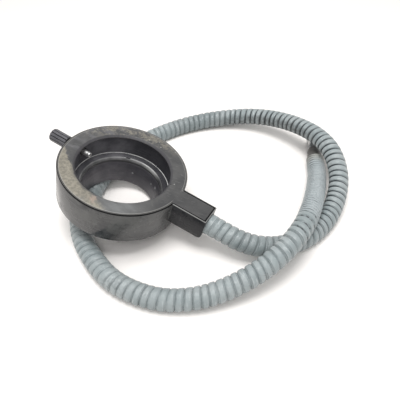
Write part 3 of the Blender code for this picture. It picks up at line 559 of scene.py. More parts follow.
def softened(piece, width, segments=3, angle=30):
    """Rounds every edge sharper than an angle."""
    only(piece)
    bevel = piece.modifiers.new("arris", "BEVEL")
    bevel.width = width
    bevel.segments = segments
    bevel.limit_method = "ANGLE"
    bevel.angle_limit = math.radians(angle)
    bpy.ops.object.modifier_apply(modifier="arris")
    return piece


def joined(piece, other, operation="UNION"):
    """A Boolean with another solid, which goes."""
    only(piece)
    modifier = piece.modifiers.new("with", "BOOLEAN")
    modifier.operation = operation
    modifier.solver = "EXACT"
    modifier.object = other
    bpy.ops.object.modifier_apply(modifier="with")
    bpy.data.objects.remove(other)
    return piece


def placed(piece, pose, material=None, replaces=(), body="ring_light"):
    """Sets a piece in place, with its place in its mesh, hides the parts it replaces and hangs it on its
    body.
    """
    only(piece)
    piece.matrix_world = pose @ piece.matrix_world
    bpy.ops.object.transform_apply(location=True, rotation=True, scale=True)
    bpy.ops.object.shade_smooth_by_angle(angle=math.radians(32))
    if material:
        piece.data.materials.clear()
        piece.data.materials.append(material)
    if replaces:
        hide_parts(*replaces)
    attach(piece, body)
    return piece


ending = Vector((math.cos(END_HEADING), math.sin(END_HEADING), 0))
far_turn = ending.to_track_quat("Z", "Y").to_matrix().to_4x4()
far_pose = Matrix.Translation(Vector(centreline[-1])) @ far_turn

moulding, tree, shader = new_finish("moulded_collar", ior=1.48)
place = object_place(tree)
mottle = noise(tree, place, 240.0, 5.0)
scuff = noise(tree, place, 900.0, 4.0)
colour = mix(tree, ramp(tree, mottle, 0.35, 0.65), (0.045, 0.042, 0.039, 1), (0.1, 0.095, 0.09, 1))
colour = tinted(tree, colour, ramp(tree, scuff, 0.62, 0.72, 0, 0.5), (0.24, 0.235, 0.22))
feed(tree, shader, colour, (mottle, 0.3, 0.7, 0.35, 0.55), (scuff, 0.4, 0.00006))
collar = turned(
    "moulded_collar",
    (
        (COLLAR_BORE, COLLAR_START),
        (COLLAR_RADIUS - 0.0002, COLLAR_START),
        (COLLAR_RADIUS, COLLAR_START + 0.0011),
        (COLLAR_RADIUS, COLLAR_END - COLLAR_LIP - 0.0005),
        (COLLAR_RADIUS - COLLAR_STEP, COLLAR_END - COLLAR_LIP),
        (COLLAR_RADIUS - COLLAR_STEP, COLLAR_END),
        (COLLAR_BORE, COLLAR_END),
    ),
    96,
)
softened(collar, COLLAR_ARRIS)
placed(collar, far_pose, moulding, ["ferrule_collar"])

turned_steel, tree, shader = new_finish("turned_steel", metallic=1.0)
place = object_place(tree)
haze = noise(tree, place, 320.0, 5.0)
hairs = noise(tree, stretched(tree, place, (1.0, 26.0, 1.0)), 160.0, 3.0)
colour = mix(tree, ramp(tree, haze, 0.3, 0.7), (0.36, 0.36, 0.365, 1), (0.5, 0.5, 0.5, 1))
feed(tree, shader, colour, (hairs, 0.3, 0.7, 0.22, 0.38), (hairs, 0.35, 0.00003))
ferrule = turned(
    "turned_ferrule",
    (
        (FERRULE_BORE, SPIGOT_START),
        (SPIGOT_RADIUS, SPIGOT_START),
        (SPIGOT_RADIUS, FERRULE_START),
        (FERRULE_RADIUS, FERRULE_START),
        (FERRULE_RADIUS, FERRULE_GROOVE),
        (FERRULE_RADIUS - GROOVE_DEPTH, FERRULE_GROOVE + GROOVE_DEPTH),
        (FERRULE_RADIUS - GROOVE_DEPTH, FERRULE_GROOVE + GROOVE_WIDTH - GROOVE_DEPTH),
        (FERRULE_RADIUS, FERRULE_GROOVE + GROOVE_WIDTH),
        (FERRULE_RADIUS, FERRULE_END - 0.0004),
        (FERRULE_RADIUS - 0.0005, FERRULE_END),
        (FERRULE_BORE, FERRULE_END),
    ),
    96,
)
softened(ferrule, FERRULE_ARRIS, 2)
placed(ferrule, far_pose, turned_steel, ["end_ferrule"])

# Housing
# One casting with its nose cone and its arm, painted satin black, bored and recessed for the plate.
# The paint is rubbed on its arrises and smudged by hands. It is painted darker towards the foot as shade,
# lighter at the front right as a painted reflection, near black in a painted shade of the gap round the
# plate, and pale along the rim's and the arm's top arrises as painted highlights.
BODY_RADIUS = 0.045
BODY_HEIGHT = 0.0268
CAVITY_RADIUS = 0.0416
CAVITY_FLOOR = 0.0022
RIM_WIDTH = 0.0009
SHELF = 0.0243
NOSE_DEPTH = 0.013
NOSE_ROOT = 0.0322
NOSE_TIP = 0.0304
NOSE_WALL = 0.0012
SLEEVE_OUTER = 0.0369
ARM_END = 0.07
ARM_HALF = 0.0086
ARM_FOOT = 0.0094
ARM_TOE = 0.003
CHANNEL_HALF = 0.0066
CHANNEL_FLOOR = 0.0114
CHANNEL_END = 0.056
RECESS_HALF = 0.0074
RECESS_END = 0.0688
ARRIS = 0.0004
OVERRUN = 0.002
SCREW_PLACES = (0.05125, 0.063)
GRUB_HOLE = 0.0018
GRUB_HOLE_FOOT = 0.007
GRUB_HOLE_TOP = 0.0162
ARM_BORES = (("anchor_seat", 0.0052, 0.054), ("flange_seat", 0.0059, 0.0677), ("scoop", 0.00775, 0.0692))
ARM_BORES_END = 0.075
COUNTERSINK = ((0.0022, -0.001), (0.0022, 0.00015), (0.0013, 0.00105), (0.0013, 0.004))
SLEEVE_SCREW_TURNS = (60, 180, 300)
SLEEVE_SCREW_CIRCLE = 0.03455
BUSH_HOLE = 0.0033
BUSH_HOLE_START = 0.038
BUSH_HOLE_END = 0.047
THUMB_HEIGHT = 0.0193

thumb_turn = Vector((-1, 0, 0)).to_track_quat("Z", "Y").to_matrix().to_4x4()
thumb_line = Matrix.Translation((0, 0, THUMB_HEIGHT)) @ thumb_turn
thumb_pose = ring_pose @ Matrix.Translation((0, 0, THUMB_HEIGHT)) @ thumb_turn


def block(name, low, high):
    """A box between two corners."""
    bpy.ops.object.select_all(action="DESELECT")
    low, high = Vector(low), Vector(high)
    bpy.ops.mesh.primitive_cube_add(size=1, location=(low + high) / 2)
    piece = bpy.context.object
    piece.name = name
    piece.scale = high - low
    bpy.ops.object.transform_apply(location=True, rotation=True, scale=True)
    return piece


def cylinder(name, radius, low, high, pose=Matrix.Identity(4), steps=64):
    """A plain cylinder along Z of a pose, to cut with."""
    bpy.ops.object.select_all(action="DESELECT")
    bpy.ops.mesh.primitive_cylinder_add(
        vertices=steps, radius=radius, depth=high - low, location=(0, 0, (low + high) / 2)
    )
    piece = bpy.context.object
    piece.name = name
    piece.matrix_world = pose @ piece.matrix_world
    bpy.ops.object.transform_apply(location=True, rotation=True, scale=True)
    return piece


def group(name, inputs, outputs):
    """An empty shader group with named sockets."""
    made = bpy.data.node_groups.new(name, "ShaderNodeTree")
    for label, kind, value in inputs:
        socket = made.interface.new_socket(label, in_out="INPUT", socket_type=kind)
        socket.default_value = value
    for label, kind in outputs:
        made.interface.new_socket(label, in_out="OUTPUT", socket_type=kind)
    return made, made.nodes.new("NodeGroupInput"), made.nodes.new("NodeGroupOutput")


def use(tree, made, inputs):
    """A group placed in a material."""
    return node(tree, "ShaderNodeGroup", inputs, node_tree=made)


def vector_math(tree, operation, *values):
    """A distance, length or dot product of places."""
    made = node(tree, "ShaderNodeVectorMath", dict(enumerate(values)), operation=operation)
    return made.outputs["Value"]


edge_wear, given, result = group(
    "edge_wear",
    (("Reach", "NodeSocketFloat", 0.0004), ("Breakup", "NodeSocketFloat", 400.0)),
    (("Mask", "NodeSocketFloat"),),
)
place = object_place(edge_wear)
rounded = node(edge_wear, "ShaderNodeBevel", {"Radius": given.outputs["Reach"]}, samples=6)
facing = node(edge_wear, "ShaderNodeNewGeometry").outputs["Normal"]
alike = vector_math(edge_wear, "DOT_PRODUCT", rounded.outputs["Normal"], facing)
rim = ramp(edge_wear, alike, 0.995, 0.93)
broken = ramp(edge_wear, noise(edge_wear, place, given.outputs["Breakup"], 5.0, 0.65), 0.42, 0.62)
edge_wear.links.new(times(edge_wear, rim, broken), result.inputs["Mask"])

handling, given, result = group(
    "handling",
    (("Size", "NodeSocketFloat", 60.0),),
    (("Smudge", "NodeSocketFloat"), ("Scratch", "NodeSocketFloat"), ("Dust", "NodeSocketFloat")),
)
place = object_place(handling)
smudge = ramp(handling, noise(handling, place, given.outputs["Size"], 5.0, 0.6), 0.32, 0.68)
handling.links.new(smudge, result.inputs["Smudge"])
scratch = None
for angle, spread in ((0.35, 14.0), (-0.6, 22.0), (1.25, 18.0)):
    drawn = stretched(handling, place, (1.0, spread, 1.0), (0.1, 0.2, angle))
    line_mask = ramp(handling, noise(handling, drawn, 130.0, 2.0, 0.5), 0.69, 0.73)
    scratch = line_mask if scratch is None else larger(handling, scratch, line_mask)
handling.links.new(scratch, result.inputs["Scratch"])
specks = node(
    handling, "ShaderNodeTexVoronoi", {"Vector": place, "Scale": 700.0}, feature="F1"
)
dots = ramp(handling, specks.outputs["Distance"], 0.16, 0.08)
sparse = ramp(handling, noise(handling, place, 95.0, 3.0), 0.58, 0.66)
handling.links.new(times(handling, dots, sparse), result.inputs["Dust"])


def place_in(tree, pose):
    """Coordinates in the frame of a pose, such as the ring's, with the optical axis as Z."""
    made = node(
        tree,
        "ShaderNodeMapping",
        {
            "Vector": object_place(tree),
            "Location": pose.translation,
            "Rotation": pose.to_3x3().to_euler(),
        },
        vector_type="TEXTURE",
    )
    return made.outputs["Vector"]


def parts_of(tree, local):
    """X, Y and Z of a place, and its distance from the Z axis."""
    parts = node(tree, "ShaderNodeSeparateXYZ", {"Vector": local}).outputs
    flat = node(tree, "ShaderNodeCombineXYZ", {"X": parts["X"], "Y": parts["Y"], "Z": 0.0})
    reach = vector_math(tree, "LENGTH", flat.outputs["Vector"])
    return parts["X"], parts["Y"], parts["Z"], reach


def towards(tree, local, x, y):
    """How far a place lies from the Z axis towards one side."""
    return vector_math(tree, "DOT_PRODUCT", local, (x, y, 0.0))


satin, tree, shader = new_finish("satin_paint", ior=1.5)
used = use(tree, handling, {"Size": 80.0})
worn = use(tree, edge_wear, {"Reach": 0.0005, "Breakup": 350.0})
local = place_in(tree, ring_pose)
out_along, across, height, reach = parts_of(tree, local)
on_arm = ramp(tree, reach, BODY_RADIUS, BODY_RADIUS + 0.001)
# Painted shade: the housing is darker towards the foot.
foot_shade = ramp(tree, height, 0.012, 0.002)
colour = mix(tree, used.outputs["Smudge"], (0.02, 0.02, 0.023, 1), (0.095, 0.095, 0.091, 1))
colour = tinted(tree, colour, on_arm, (0.012, 0.012, 0.015), 0.85)
# Painted reflection: the wall is lighter towards the front right.
front_right_reflection = ramp(tree, towards(tree, local, 0.8, -0.6), 0.038, 0.045, 0.0, 0.4)
front_right_reflection = times(tree, front_right_reflection, ramp(tree, on_arm, 1.0, 0.0))
colour = tinted(tree, colour, front_right_reflection, (0.125, 0.125, 0.122))
colour = tinted(tree, colour, foot_shade, (0.016, 0.016, 0.019), 0.6)
colour = tinted(tree, colour, used.outputs["Scratch"], (0.13, 0.13, 0.13), 0.25)
colour = tinted(tree, colour, used.outputs["Dust"], (0.35, 0.35, 0.34), 0.5)
arm_worn = times(tree, worn.outputs["Mask"], ramp(tree, on_arm, 0.0, 1.0, 0.15, 0.9))
colour = tinted(tree, colour, arm_worn, (0.3, 0.3, 0.29))
# Painted shade: a near-black line along the rim's top and round the tongue on the arm, for the gap between
# the plate and the housing.
top_line = ramp(tree, height, BODY_HEIGHT - 0.0013, BODY_HEIGHT - 0.0008)
top_line = times(tree, top_line, ramp(tree, on_arm, 1.0, 0.0))
# Painted highlight: a pale line along the rim's outer top arris.
rim_highlight = times(tree, ramp(tree, reach, BODY_RADIUS - 0.0004, BODY_RADIUS - 0.0006), top_line)
rim_highlight = times(tree, rim_highlight, ramp(tree, height, BODY_HEIGHT - 0.0005, BODY_HEIGHT - 0.0003))
across = math_of(tree, "ABSOLUTE", across)
near_edge = larger(
    tree,
    ramp(tree, across, RECESS_HALF + 0.0005, RECESS_HALF + 0.0009),
    ramp(tree, out_along, RECESS_END + 0.0005, RECESS_END + 0.0009),
)
arm_top = times(tree, ramp(tree, height, BODY_HEIGHT - 0.0006, BODY_HEIGHT - 0.0002), on_arm)
arm_gap = times(tree, arm_top, math_of(tree, "SUBTRACT", 1.0, near_edge))
gap_shade_line = larger(tree, top_line, arm_gap)
colour = tinted(tree, colour, gap_shade_line, (0.005, 0.005, 0.006))
# Painted highlight: a pale line along the arm's outer top arris.
arm_edge_highlight = times(tree, arm_top, near_edge)
colour = tinted(tree, colour, arm_edge_highlight, (0.3, 0.3, 0.29), 0.75)
colour = tinted(tree, colour, rim_highlight, (0.24, 0.235, 0.225), 0.8)
wiping = noise(tree, stretched(tree, local, (1.0, 1.0, 14.0)), 55.0, 4.0)
wiped = times(tree, ramp(tree, wiping, 0.5, 0.68, 0.0, 0.4), ramp(tree, gap_shade_line, 1.0, 0.0))
wiped = times(tree, wiped, ramp(tree, on_arm, 0.0, 1.0, 1.0, 0.15))
colour = tinted(tree, colour, wiped, (0.12, 0.12, 0.117))
sheen = larger(tree, gap_shade_line, times(tree, on_arm, 0.55))
tree.links.new(ramp(tree, sheen, 0.0, 1.0, 0.5, 0.08), shader.inputs["Specular IOR Level"])
peel = noise(tree, local, 900.0, 3.0)
feed(tree, shader, colour, (used.outputs["Smudge"], 0.0, 1.0, 0.12, 0.36), (peel, 0.2, 0.00004))

body = turned(
    "painted_housing",
    (
        (NOSE_TIP, -NOSE_DEPTH),
        (NOSE_ROOT, 0),
        (BODY_RADIUS, 0),
        (BODY_RADIUS, BODY_HEIGHT),
        (BODY_RADIUS - RIM_WIDTH, BODY_HEIGHT),
        (BODY_RADIUS - RIM_WIDTH, SHELF),
        (CAVITY_RADIUS, SHELF),
        (CAVITY_RADIUS, CAVITY_FLOOR),
        (NOSE_ROOT - NOSE_WALL / 2, CAVITY_FLOOR),
        (NOSE_TIP - NOSE_WALL, -NOSE_DEPTH),
    ),
)
softened(body, ARRIS, 3)
arm_start = math.sqrt((BODY_RADIUS - RIM_WIDTH / 2) ** 2 - ARM_HALF**2)
arm = block("arm", (arm_start, -ARM_HALF, ARM_FOOT), (ARM_END, ARM_HALF, BODY_HEIGHT))
only(arm)
bpy.ops.object.mode_set(mode="EDIT")
bpy.ops.mesh.select_all(action="DESELECT")
bpy.ops.object.mode_set(mode="OBJECT")
for edge in arm.data.edges:
    ends = [arm.data.vertices[index].co for index in edge.vertices]
    edge.select = all(end.x > ARM_END - ARM_TOE and end.z < ARM_FOOT + ARM_TOE for end in ends)
bpy.ops.object.mode_set(mode="EDIT")
bpy.ops.mesh.select_mode(type="EDGE")
bpy.ops.mesh.bevel(offset=ARM_TOE, segments=8, affect="EDGES")
bpy.ops.object.mode_set(mode="OBJECT")
softened(arm, ARRIS, 3, 40)
joined(body, arm)
over = BODY_HEIGHT + OVERRUN
channel = block(
    "channel", (SLEEVE_OUTER, -CHANNEL_HALF, CHANNEL_FLOOR), (CHANNEL_END, CHANNEL_HALF, over)
)
joined(body, channel, "DIFFERENCE")
recess = block("recess", (SLEEVE_OUTER, -RECESS_HALF, SHELF), (RECESS_END, RECESS_HALF, over))
joined(body, recess, "DIFFERENCE")
arm_axis = Matrix.Translation((0, 0, ARM_HEIGHT)) @ Matrix.Rotation(math.pi / 2, 4, "Y")
for name, radius, start in ARM_BORES:
    joined(body, cylinder(name, radius, start, ARM_BORES_END, arm_axis), "DIFFERENCE")
for distance in SCREW_PLACES:
    below = Matrix.Translation((distance, 0, 0))
    hole = cylinder("grub_hole", GRUB_HOLE, GRUB_HOLE_FOOT, GRUB_HOLE_TOP, below, 32)
    joined(body, hole, "DIFFERENCE")
for degrees in SLEEVE_SCREW_TURNS:
    turn = Matrix.Rotation(math.radians(degrees), 4, "Z")
    sunk = turned("countersink", COUNTERSINK, 32, hollow=False)
    sunk.matrix_world = turn @ Matrix.Translation((SLEEVE_SCREW_CIRCLE, 0, 0))
    joined(body, sunk, "DIFFERENCE")
bush_hole = cylinder("bush_hole", BUSH_HOLE, BUSH_HOLE_START, BUSH_HOLE_END, thumb_line)
joined(body, bush_hole, "DIFFERENCE")
placed(body, ring_pose, satin, ["housing"])

# Nose core
# Turned, anodised cone that forms the inner side of the fibre slot. Its bore keeps the fine marks
# of the turning tool, and dust has settled on it.
CORE_TOP = 0.0046
CORE_TIP = 0.02595
CORE_ROOT = 0.02839
CORE_WALL = 0.00135
CORE_ARRIS = 0.0002
SPECKS = (
    (-0.0065, 0.0265, -0.0032, 0.0011),
    (0.0117, 0.0249, -0.0020, 0.001),
    (0.0170, 0.0218, -0.0005, 0.0016),
)

anodised, tree, shader = new_finish("dark_anodised", metallic=0.35, ior=1.5)
used = use(tree, handling, {"Size": 90.0})
local = place_in(tree, ring_pose)
lines = noise(tree, stretched(tree, local, (1.0, 1.0, 60.0)), 60.0, 3.0)
colour = mix(tree, used.outputs["Smudge"], (0.075, 0.072, 0.083, 1), (0.13, 0.125, 0.138, 1))
colour = tinted(tree, colour, ramp(tree, lines, 0.4, 0.7, 0.0, 0.35), (0.045, 0.043, 0.05))
# Painted shade: the wall is darker towards the far right.
shaded_far_right = towards(tree, local, 0.42, 0.91)
colour = tinted(tree, colour, ramp(tree, shaded_far_right, 0.0, 0.024, 0.0, 0.6), (0.04, 0.038, 0.045))
colour = tinted(tree, colour, used.outputs["Dust"], (0.4, 0.4, 0.38), 0.8)
for *centre, size in SPECKS:
    away = vector_math(tree, "DISTANCE", local, centre)
    colour = tinted(tree, colour, ramp(tree, away, size, 0.3 * size, 0.0, 0.75), (0.34, 0.34, 0.35))
feed(tree, shader, colour, (lines, 0.3, 0.7, 0.34, 0.5), (lines, 0.3, 0.00003))
core = turned(
    "anodised_core",
    (
        (CORE_TIP, -NOSE_DEPTH),
        (CORE_TIP + CORE_WALL, -NOSE_DEPTH),
        (CORE_ROOT + CORE_WALL, CORE_TOP),
        (CORE_ROOT, CORE_TOP),
    ),
)
softened(core, CORE_ARRIS, 2)
placed(core, ring_pose, anodised, ["nose_core"])

# Fibres
# Glass fibres: a bundle through the hose, spread in two fans round the cavity, laid into the slot
# and potted in clear resin at both ends, where they are ground and polished.
strands, tree, shader = new_finish("glass_strands", ior=1.5, coat_weight=0.2)
place = object_place(tree)
hairs = noise(tree, stretched(tree, place, (1.0, 30.0, 1.0), (0.4, 0.3, 0.2)), 120.0, 4.0)
colour = mix(tree, ramp(tree, hairs, 0.35, 0.65), (0.34, 0.35, 0.32, 1), (0.66, 0.68, 0.64, 1))
feed(tree, shader, colour, (hairs, 0.3, 0.7, 0.2, 0.4), (hairs, 0.6, 0.0001))

polished, tree, shader = new_finish(
    "polished_fibre_ends", ior=1.5, coat_weight=0.6, coat_roughness=0.05
)
place = object_place(tree)
cells = node(
    tree, "ShaderNodeTexVoronoi", {"Vector": place, "Scale": 2600.0}, feature="DISTANCE_TO_EDGE"
).outputs["Distance"]
tint = noise(tree, place, 300.0, 4.0)
colour = mix(tree, ramp(tree, tint, 0.35, 0.65), (0.5, 0.54, 0.5, 1), (0.7, 0.73, 0.7, 1))
colour = tinted(tree, colour, ramp(tree, cells, 0.12, 0.02), (0.09, 0.09, 0.08))
feed(tree, shader, colour, (tint, 0.3, 0.7, 0.08, 0.16))

for name in ("fibre_skirt", "fibre_fan_left", "fibre_fan_right", "fibre_bundle"):
    nodes[name].material_slots[0].material = strands
for name in ("fibre_end_ring", "fibre_face"):
    nodes[name].material_slots[0].material = polished

# Bundle clamp and hose anchor
# Milled aluminium block that grips the bundle in the arm's channel, and the turned steel fitting
# that holds the hose. Each is fixed by a socket grub screw from under the arm.
milled, tree, shader = new_finish("milled_aluminium", metallic=1.0)
place = object_place(tree)
passes = noise(tree, stretched(tree, place, (18.0, 1.0, 1.0), (0, 0, 0.34)), 140.0, 3.0)
colour = mix(tree, ramp(tree, passes, 0.3, 0.7), (0.48, 0.49, 0.5, 1), (0.62, 0.63, 0.64, 1))
feed(tree, shader, colour, (passes, 0.3, 0.7, 0.28, 0.45), (passes, 0.4, 0.00004))
nodes["bundle_clamp"].material_slots[0].material = milled
nodes["hose_anchor"].material_slots[0].material = turned_steel

oxide, tree, shader = new_finish("black_oxide", metallic=0.85)
used = use(tree, handling, {"Size": 260.0})
worn = use(tree, edge_wear, {"Reach": 0.0002, "Breakup": 900.0})
colour = mix(tree, used.outputs["Smudge"], (0.02, 0.02, 0.022, 1), (0.05, 0.048, 0.047, 1))
colour = tinted(tree, colour, worn.outputs["Mask"], (0.32, 0.31, 0.3), 0.6)
feed(tree, shader, colour, (used.outputs["Smudge"], 0.0, 1.0, 0.28, 0.42))
for name in ("clamp_grub_screw", "anchor_grub_screw", "sleeve_screw_1", "sleeve_screw_2", "sleeve_screw_3"):
    nodes[name].material_slots[0].material = oxide

# Bore sleeve
# Turned liner that takes the objective, blackened inside, with a ledge at its foot for the
# retaining ring. The sharp step above the ledge is rubbed bright, with a painted highlight along it,
# and the wall has painted shade towards the far right. Three screws hold it from below.
SLEEVE_INNER = 0.0349
LEDGE_INNER = 0.0306
LEDGE_FOOT = 0.0063
LEDGE_TOP = 0.0085
STEP_WIDTH = 0.0005
STEP_HEIGHT = 0.0006
SLEEVE_ARRIS = 0.00018
BUSH_PASS_START = 0.03
BUSH_PASS_END = 0.04
BOSS_RADIUS = 0.0021
BOSS_FOOT = 0.0025
BOSS_TOP = 0.0074
BOSS_HOLE = 0.0013
BOSS_HOLE_FOOT = 0.001
BOSS_HOLE_TOP = 0.00645

blackened, tree, shader = new_finish("blackened_bore", ior=1.5)
used = use(tree, handling, {"Size": 70.0})
local = place_in(tree, ring_pose)
*_, height, reach = parts_of(tree, local)
rings = noise(tree, stretched(tree, local, (1.0, 1.0, 40.0)), 50.0, 3.0)
colour = mix(tree, used.outputs["Smudge"], (0.062, 0.062, 0.07, 1), (0.14, 0.137, 0.149, 1))
colour = tinted(tree, colour, ramp(tree, rings, 0.5, 0.75, 0.0, 0.35), (0.02, 0.02, 0.023))
# Painted shade: the wall is darker towards the far right.
shaded_far_right = towards(tree, local, 0.64, 0.77)
colour = tinted(tree, colour, ramp(tree, shaded_far_right, 0.004, 0.026, 0.0, 0.8), (0.022, 0.022, 0.026))
colour = tinted(tree, colour, used.outputs["Dust"], (0.3, 0.3, 0.29), 0.5)
# The sharp step's edge: rubbed bright, with a painted highlight along it.
step_height = between(
    tree, height, (LEDGE_TOP + 0.0002, LEDGE_TOP + 0.0004), (LEDGE_TOP + 0.0007, LEDGE_TOP + 0.0009)
)
step_edge = times(tree, step_height, ramp(tree, reach, SLEEVE_INNER - 0.0001, SLEEVE_INNER - 0.0003))
rubbed_and_highlit = times(tree, step_edge, ramp(tree, noise(tree, local, 160.0, 4.0), 0.3, 0.5, 0.5, 1.0))
colour = tinted(tree, colour, rubbed_and_highlit, (0.8, 0.8, 0.78))
feed(tree, shader, colour, (rings, 0.3, 0.7, 0.26, 0.4), (rings, 0.25, 0.00003))
sleeve = turned(
    "blackened_sleeve",
    (
        (LEDGE_INNER, LEDGE_FOOT),
        (SLEEVE_OUTER, LEDGE_FOOT),
        (SLEEVE_OUTER, SHELF),
        (SLEEVE_INNER, SHELF),
        (SLEEVE_INNER, LEDGE_TOP + STEP_HEIGHT),
        (SLEEVE_INNER - STEP_WIDTH, LEDGE_TOP + STEP_HEIGHT),
        (SLEEVE_INNER - STEP_WIDTH, LEDGE_TOP),
        (LEDGE_INNER, LEDGE_TOP),
    ),
)
softened(sleeve, SLEEVE_ARRIS, 2)
for degrees in SLEEVE_SCREW_TURNS:
    turn = Matrix.Rotation(math.radians(degrees), 4, "Z")
    boss_pose = turn @ Matrix.Translation((SLEEVE_SCREW_CIRCLE, 0, 0))
    joined(sleeve, cylinder("boss", BOSS_RADIUS, BOSS_FOOT, BOSS_TOP, boss_pose, 40))
    hole = cylinder("boss_hole", BOSS_HOLE, BOSS_HOLE_FOOT, BOSS_HOLE_TOP, boss_pose, 32)
    joined(sleeve, hole, "DIFFERENCE")
bush_pass = cylinder("bush_pass", BUSH_HOLE, BUSH_PASS_START, BUSH_PASS_END, thumb_line)
joined(sleeve, bush_pass, "DIFFERENCE")
placed(sleeve, ring_pose, blackened, ["bore_sleeve"])

# Retaining ring
# Turned metal ring with a rounded inner lip and a glossy black finish, with a painted highlight at the
# rear, painted shade on its right and painted shade towards its foot. It is screwed down inside the
# ledge, and has a notch for its spanner.
RETAINER_INNER = 0.0286
RETAINER_OUTER = 0.0303
RETAINER_LAND = 0.0003
RETAINER_FOOT = 0.0049
RETAINER_TOP = 0.0086
RETAINER_STEPS = 10
RETAINER_ARRIS = 0.00012
NOTCH_SIDE = math.radians(115)
NOTCH_HALF = 0.0016
NOTCH_FLOOR = 0.0077
NOTCH_TOP = 0.01
NOTCH_OVERRUN = 0.001

japanned, tree, shader = new_finish("glossy_black", metallic=0.3, ior=1.5)
used = use(tree, handling, {"Size": 110.0})
colour = mix(tree, used.outputs["Smudge"], (0.14, 0.14, 0.142, 1), (0.24, 0.238, 0.24, 1))
local = place_in(tree, ring_pose)
height = node(tree, "ShaderNodeSeparateXYZ", {"Vector": local}).outputs["Z"]
# Painted shade: the inner side under the lip is darker towards the foot.
low = ramp(tree, height, RETAINER_FOOT + 0.0024, RETAINER_FOOT + 0.0008)
# Painted highlight: a pale patch on the rounded lip at the rear.
rear_highlight = towards(tree, local, 0.3, 0.954)
colour = tinted(tree, colour, ramp(tree, rear_highlight, 0.0265, 0.0295, 0.0, 0.8), (0.42, 0.42, 0.41))
# Painted shade: the ring is darker on its right.
right = towards(tree, local, 0.82, 0.57)
colour = tinted(tree, colour, ramp(tree, right, 0.024, 0.029, 0.0, 0.75), (0.03, 0.03, 0.033))
colour = tinted(tree, colour, low, (0.015, 0.015, 0.017), 0.92)
feed(tree, shader, colour, (used.outputs["Smudge"], 0.0, 1.0, 0.38, 0.5))
outline = [(RETAINER_OUTER, RETAINER_FOOT), (RETAINER_OUTER, RETAINER_TOP)]
for step in range(RETAINER_STEPS + 1):
    turn = math.pi / 2 * step / RETAINER_STEPS
    run = RETAINER_OUTER - RETAINER_INNER - RETAINER_LAND
    outline.append(
        (
            RETAINER_INNER + run * (1 - math.sin(turn)),
            RETAINER_FOOT + (RETAINER_TOP - RETAINER_FOOT) * math.cos(turn),
        )
    )
retainer = turned("retaining_ring_rounded", outline)
notch = block(
    "notch",
    (RETAINER_INNER - NOTCH_OVERRUN, -NOTCH_HALF, NOTCH_FLOOR),
    (RETAINER_OUTER + NOTCH_OVERRUN, NOTCH_HALF, NOTCH_TOP),
)
notch.matrix_world = Matrix.Rotation(NOTCH_SIDE, 4, "Z")
joined(retainer, notch, "DIFFERENCE")
softened(retainer, RETAINER_ARRIS, 2, 40)
placed(retainer, ring_pose, japanned, ["retaining_ring"])

# Cover plate
# Turned plate with the objective bore and a tongue that closes the arm. Its black has worn to a
# brownish grey where hands turn the ring, with wiped scratches, stains and a few bright chips.
PLATE_FOOT = 0.0246
PLATE_RADIUS = 0.0438
TONGUE_START = 0.04
TONGUE_END = 0.0685
TONGUE_HALF = 0.0071
BORE_RADIUS = 0.033
BORE_CHAMFER = 0.0016
PLATE_ARRIS = 0.0002
WORN_SIDE = math.radians(233)
WORN_FRONT = math.radians(250)
REAR_SIDE = math.radians(114)
HAZE_SIDE = math.radians(160)
FRONT_SIDE = math.radians(300)
RESIDUE = (0.0027, -0.0383)
DARK_CHIP = (0.0340, 0.0067)
CHIPS = (
    (0.0360, 0.0084, 0.00045),
    (0.0436, 0.0073, 0.0006),
    (0.0043, 0.0400, 0.00035),
    (0.0085, 0.0356, 0.00045),
    (0.0194, 0.0388, 0.0004),
    (-0.0025, 0.0369, 0.0003),
)


def spot(tree, local, centre, radius):
    """A spot on the plate's top with a soft, uneven edge."""
    away = vector_math(tree, "DISTANCE", local, (*centre, BODY_HEIGHT))
    rough_edge = ramp(tree, noise(tree, local, 480.0), 0.3, 0.7, -0.4 * radius, 0.4 * radius)
    return ramp(tree, plus(tree, away, rough_edge), radius, 0.5 * radius)


def towards_turn(tree, local, turn):
    """How far a place lies from the Z axis towards a side given by its angle."""
    return towards(tree, local, math.cos(turn), math.sin(turn))


patina, tree, shader = new_finish("worn_patina", ior=1.5)
used = use(tree, handling, {"Size": 75.0})
worn = use(tree, edge_wear, {"Reach": 0.0004, "Breakup": 420.0})
local = place_in(tree, ring_pose)
out_along, *_, reach = parts_of(tree, local)
mottle = noise(tree, local, 110.0, 7.0, 0.66)
fine = noise(tree, local, 520.0, 5.0, 0.65)
wipe = noise(tree, stretched(tree, local, (1.0, 2.6, 1.0), (0, 0, 0.25)), 70.0, 4.0)
colour = mix(tree, ramp(tree, mottle, 0.35, 0.65), (0.044, 0.044, 0.045, 1), (0.068, 0.067, 0.066, 1))
arm_tone = ramp(tree, out_along, 0.03, 0.046, 0.0, 0.35)
colour = tinted(tree, colour, arm_tone, (0.024, 0.024, 0.025))
front = ramp(tree, towards_turn(tree, local, FRONT_SIDE), 0.026, 0.039)
wiped = times(tree, front, ramp(tree, wipe, 0.3, 0.68, 0.4, 1.0))
off_arm = ramp(tree, out_along, 0.036, 0.02)
off_arm_edge = ramp(tree, out_along, 0.0432, 0.0428)
wiped = times(tree, wiped, off_arm)
colour = tinted(tree, colour, wiped, (0.17, 0.175, 0.175))
ragged = ramp(tree, mottle, 0.3, 0.7, -0.0016, 0.0016)
side_mask = larger(
    tree,
    ramp(tree, plus(tree, towards_turn(tree, local, WORN_SIDE), ragged), 0.0338, 0.0352),
    ramp(tree, plus(tree, towards_turn(tree, local, WORN_FRONT), ragged), 0.0315, 0.0365),
)
inner_band = ramp(tree, reach, 0.0338, 0.0372)
brown = times(tree, side_mask, ramp(tree, mottle, 0.28, 0.5, 0.55, 1.0))
brown = times(tree, brown, ramp(tree, inner_band, 0.0, 1.0, 0.5, 1.0))
rear_mask = ramp(tree, towards_turn(tree, local, REAR_SIDE), 0.02, 0.036)
both = plus(tree, times(tree, mottle, 0.55), times(tree, fine, 0.45))
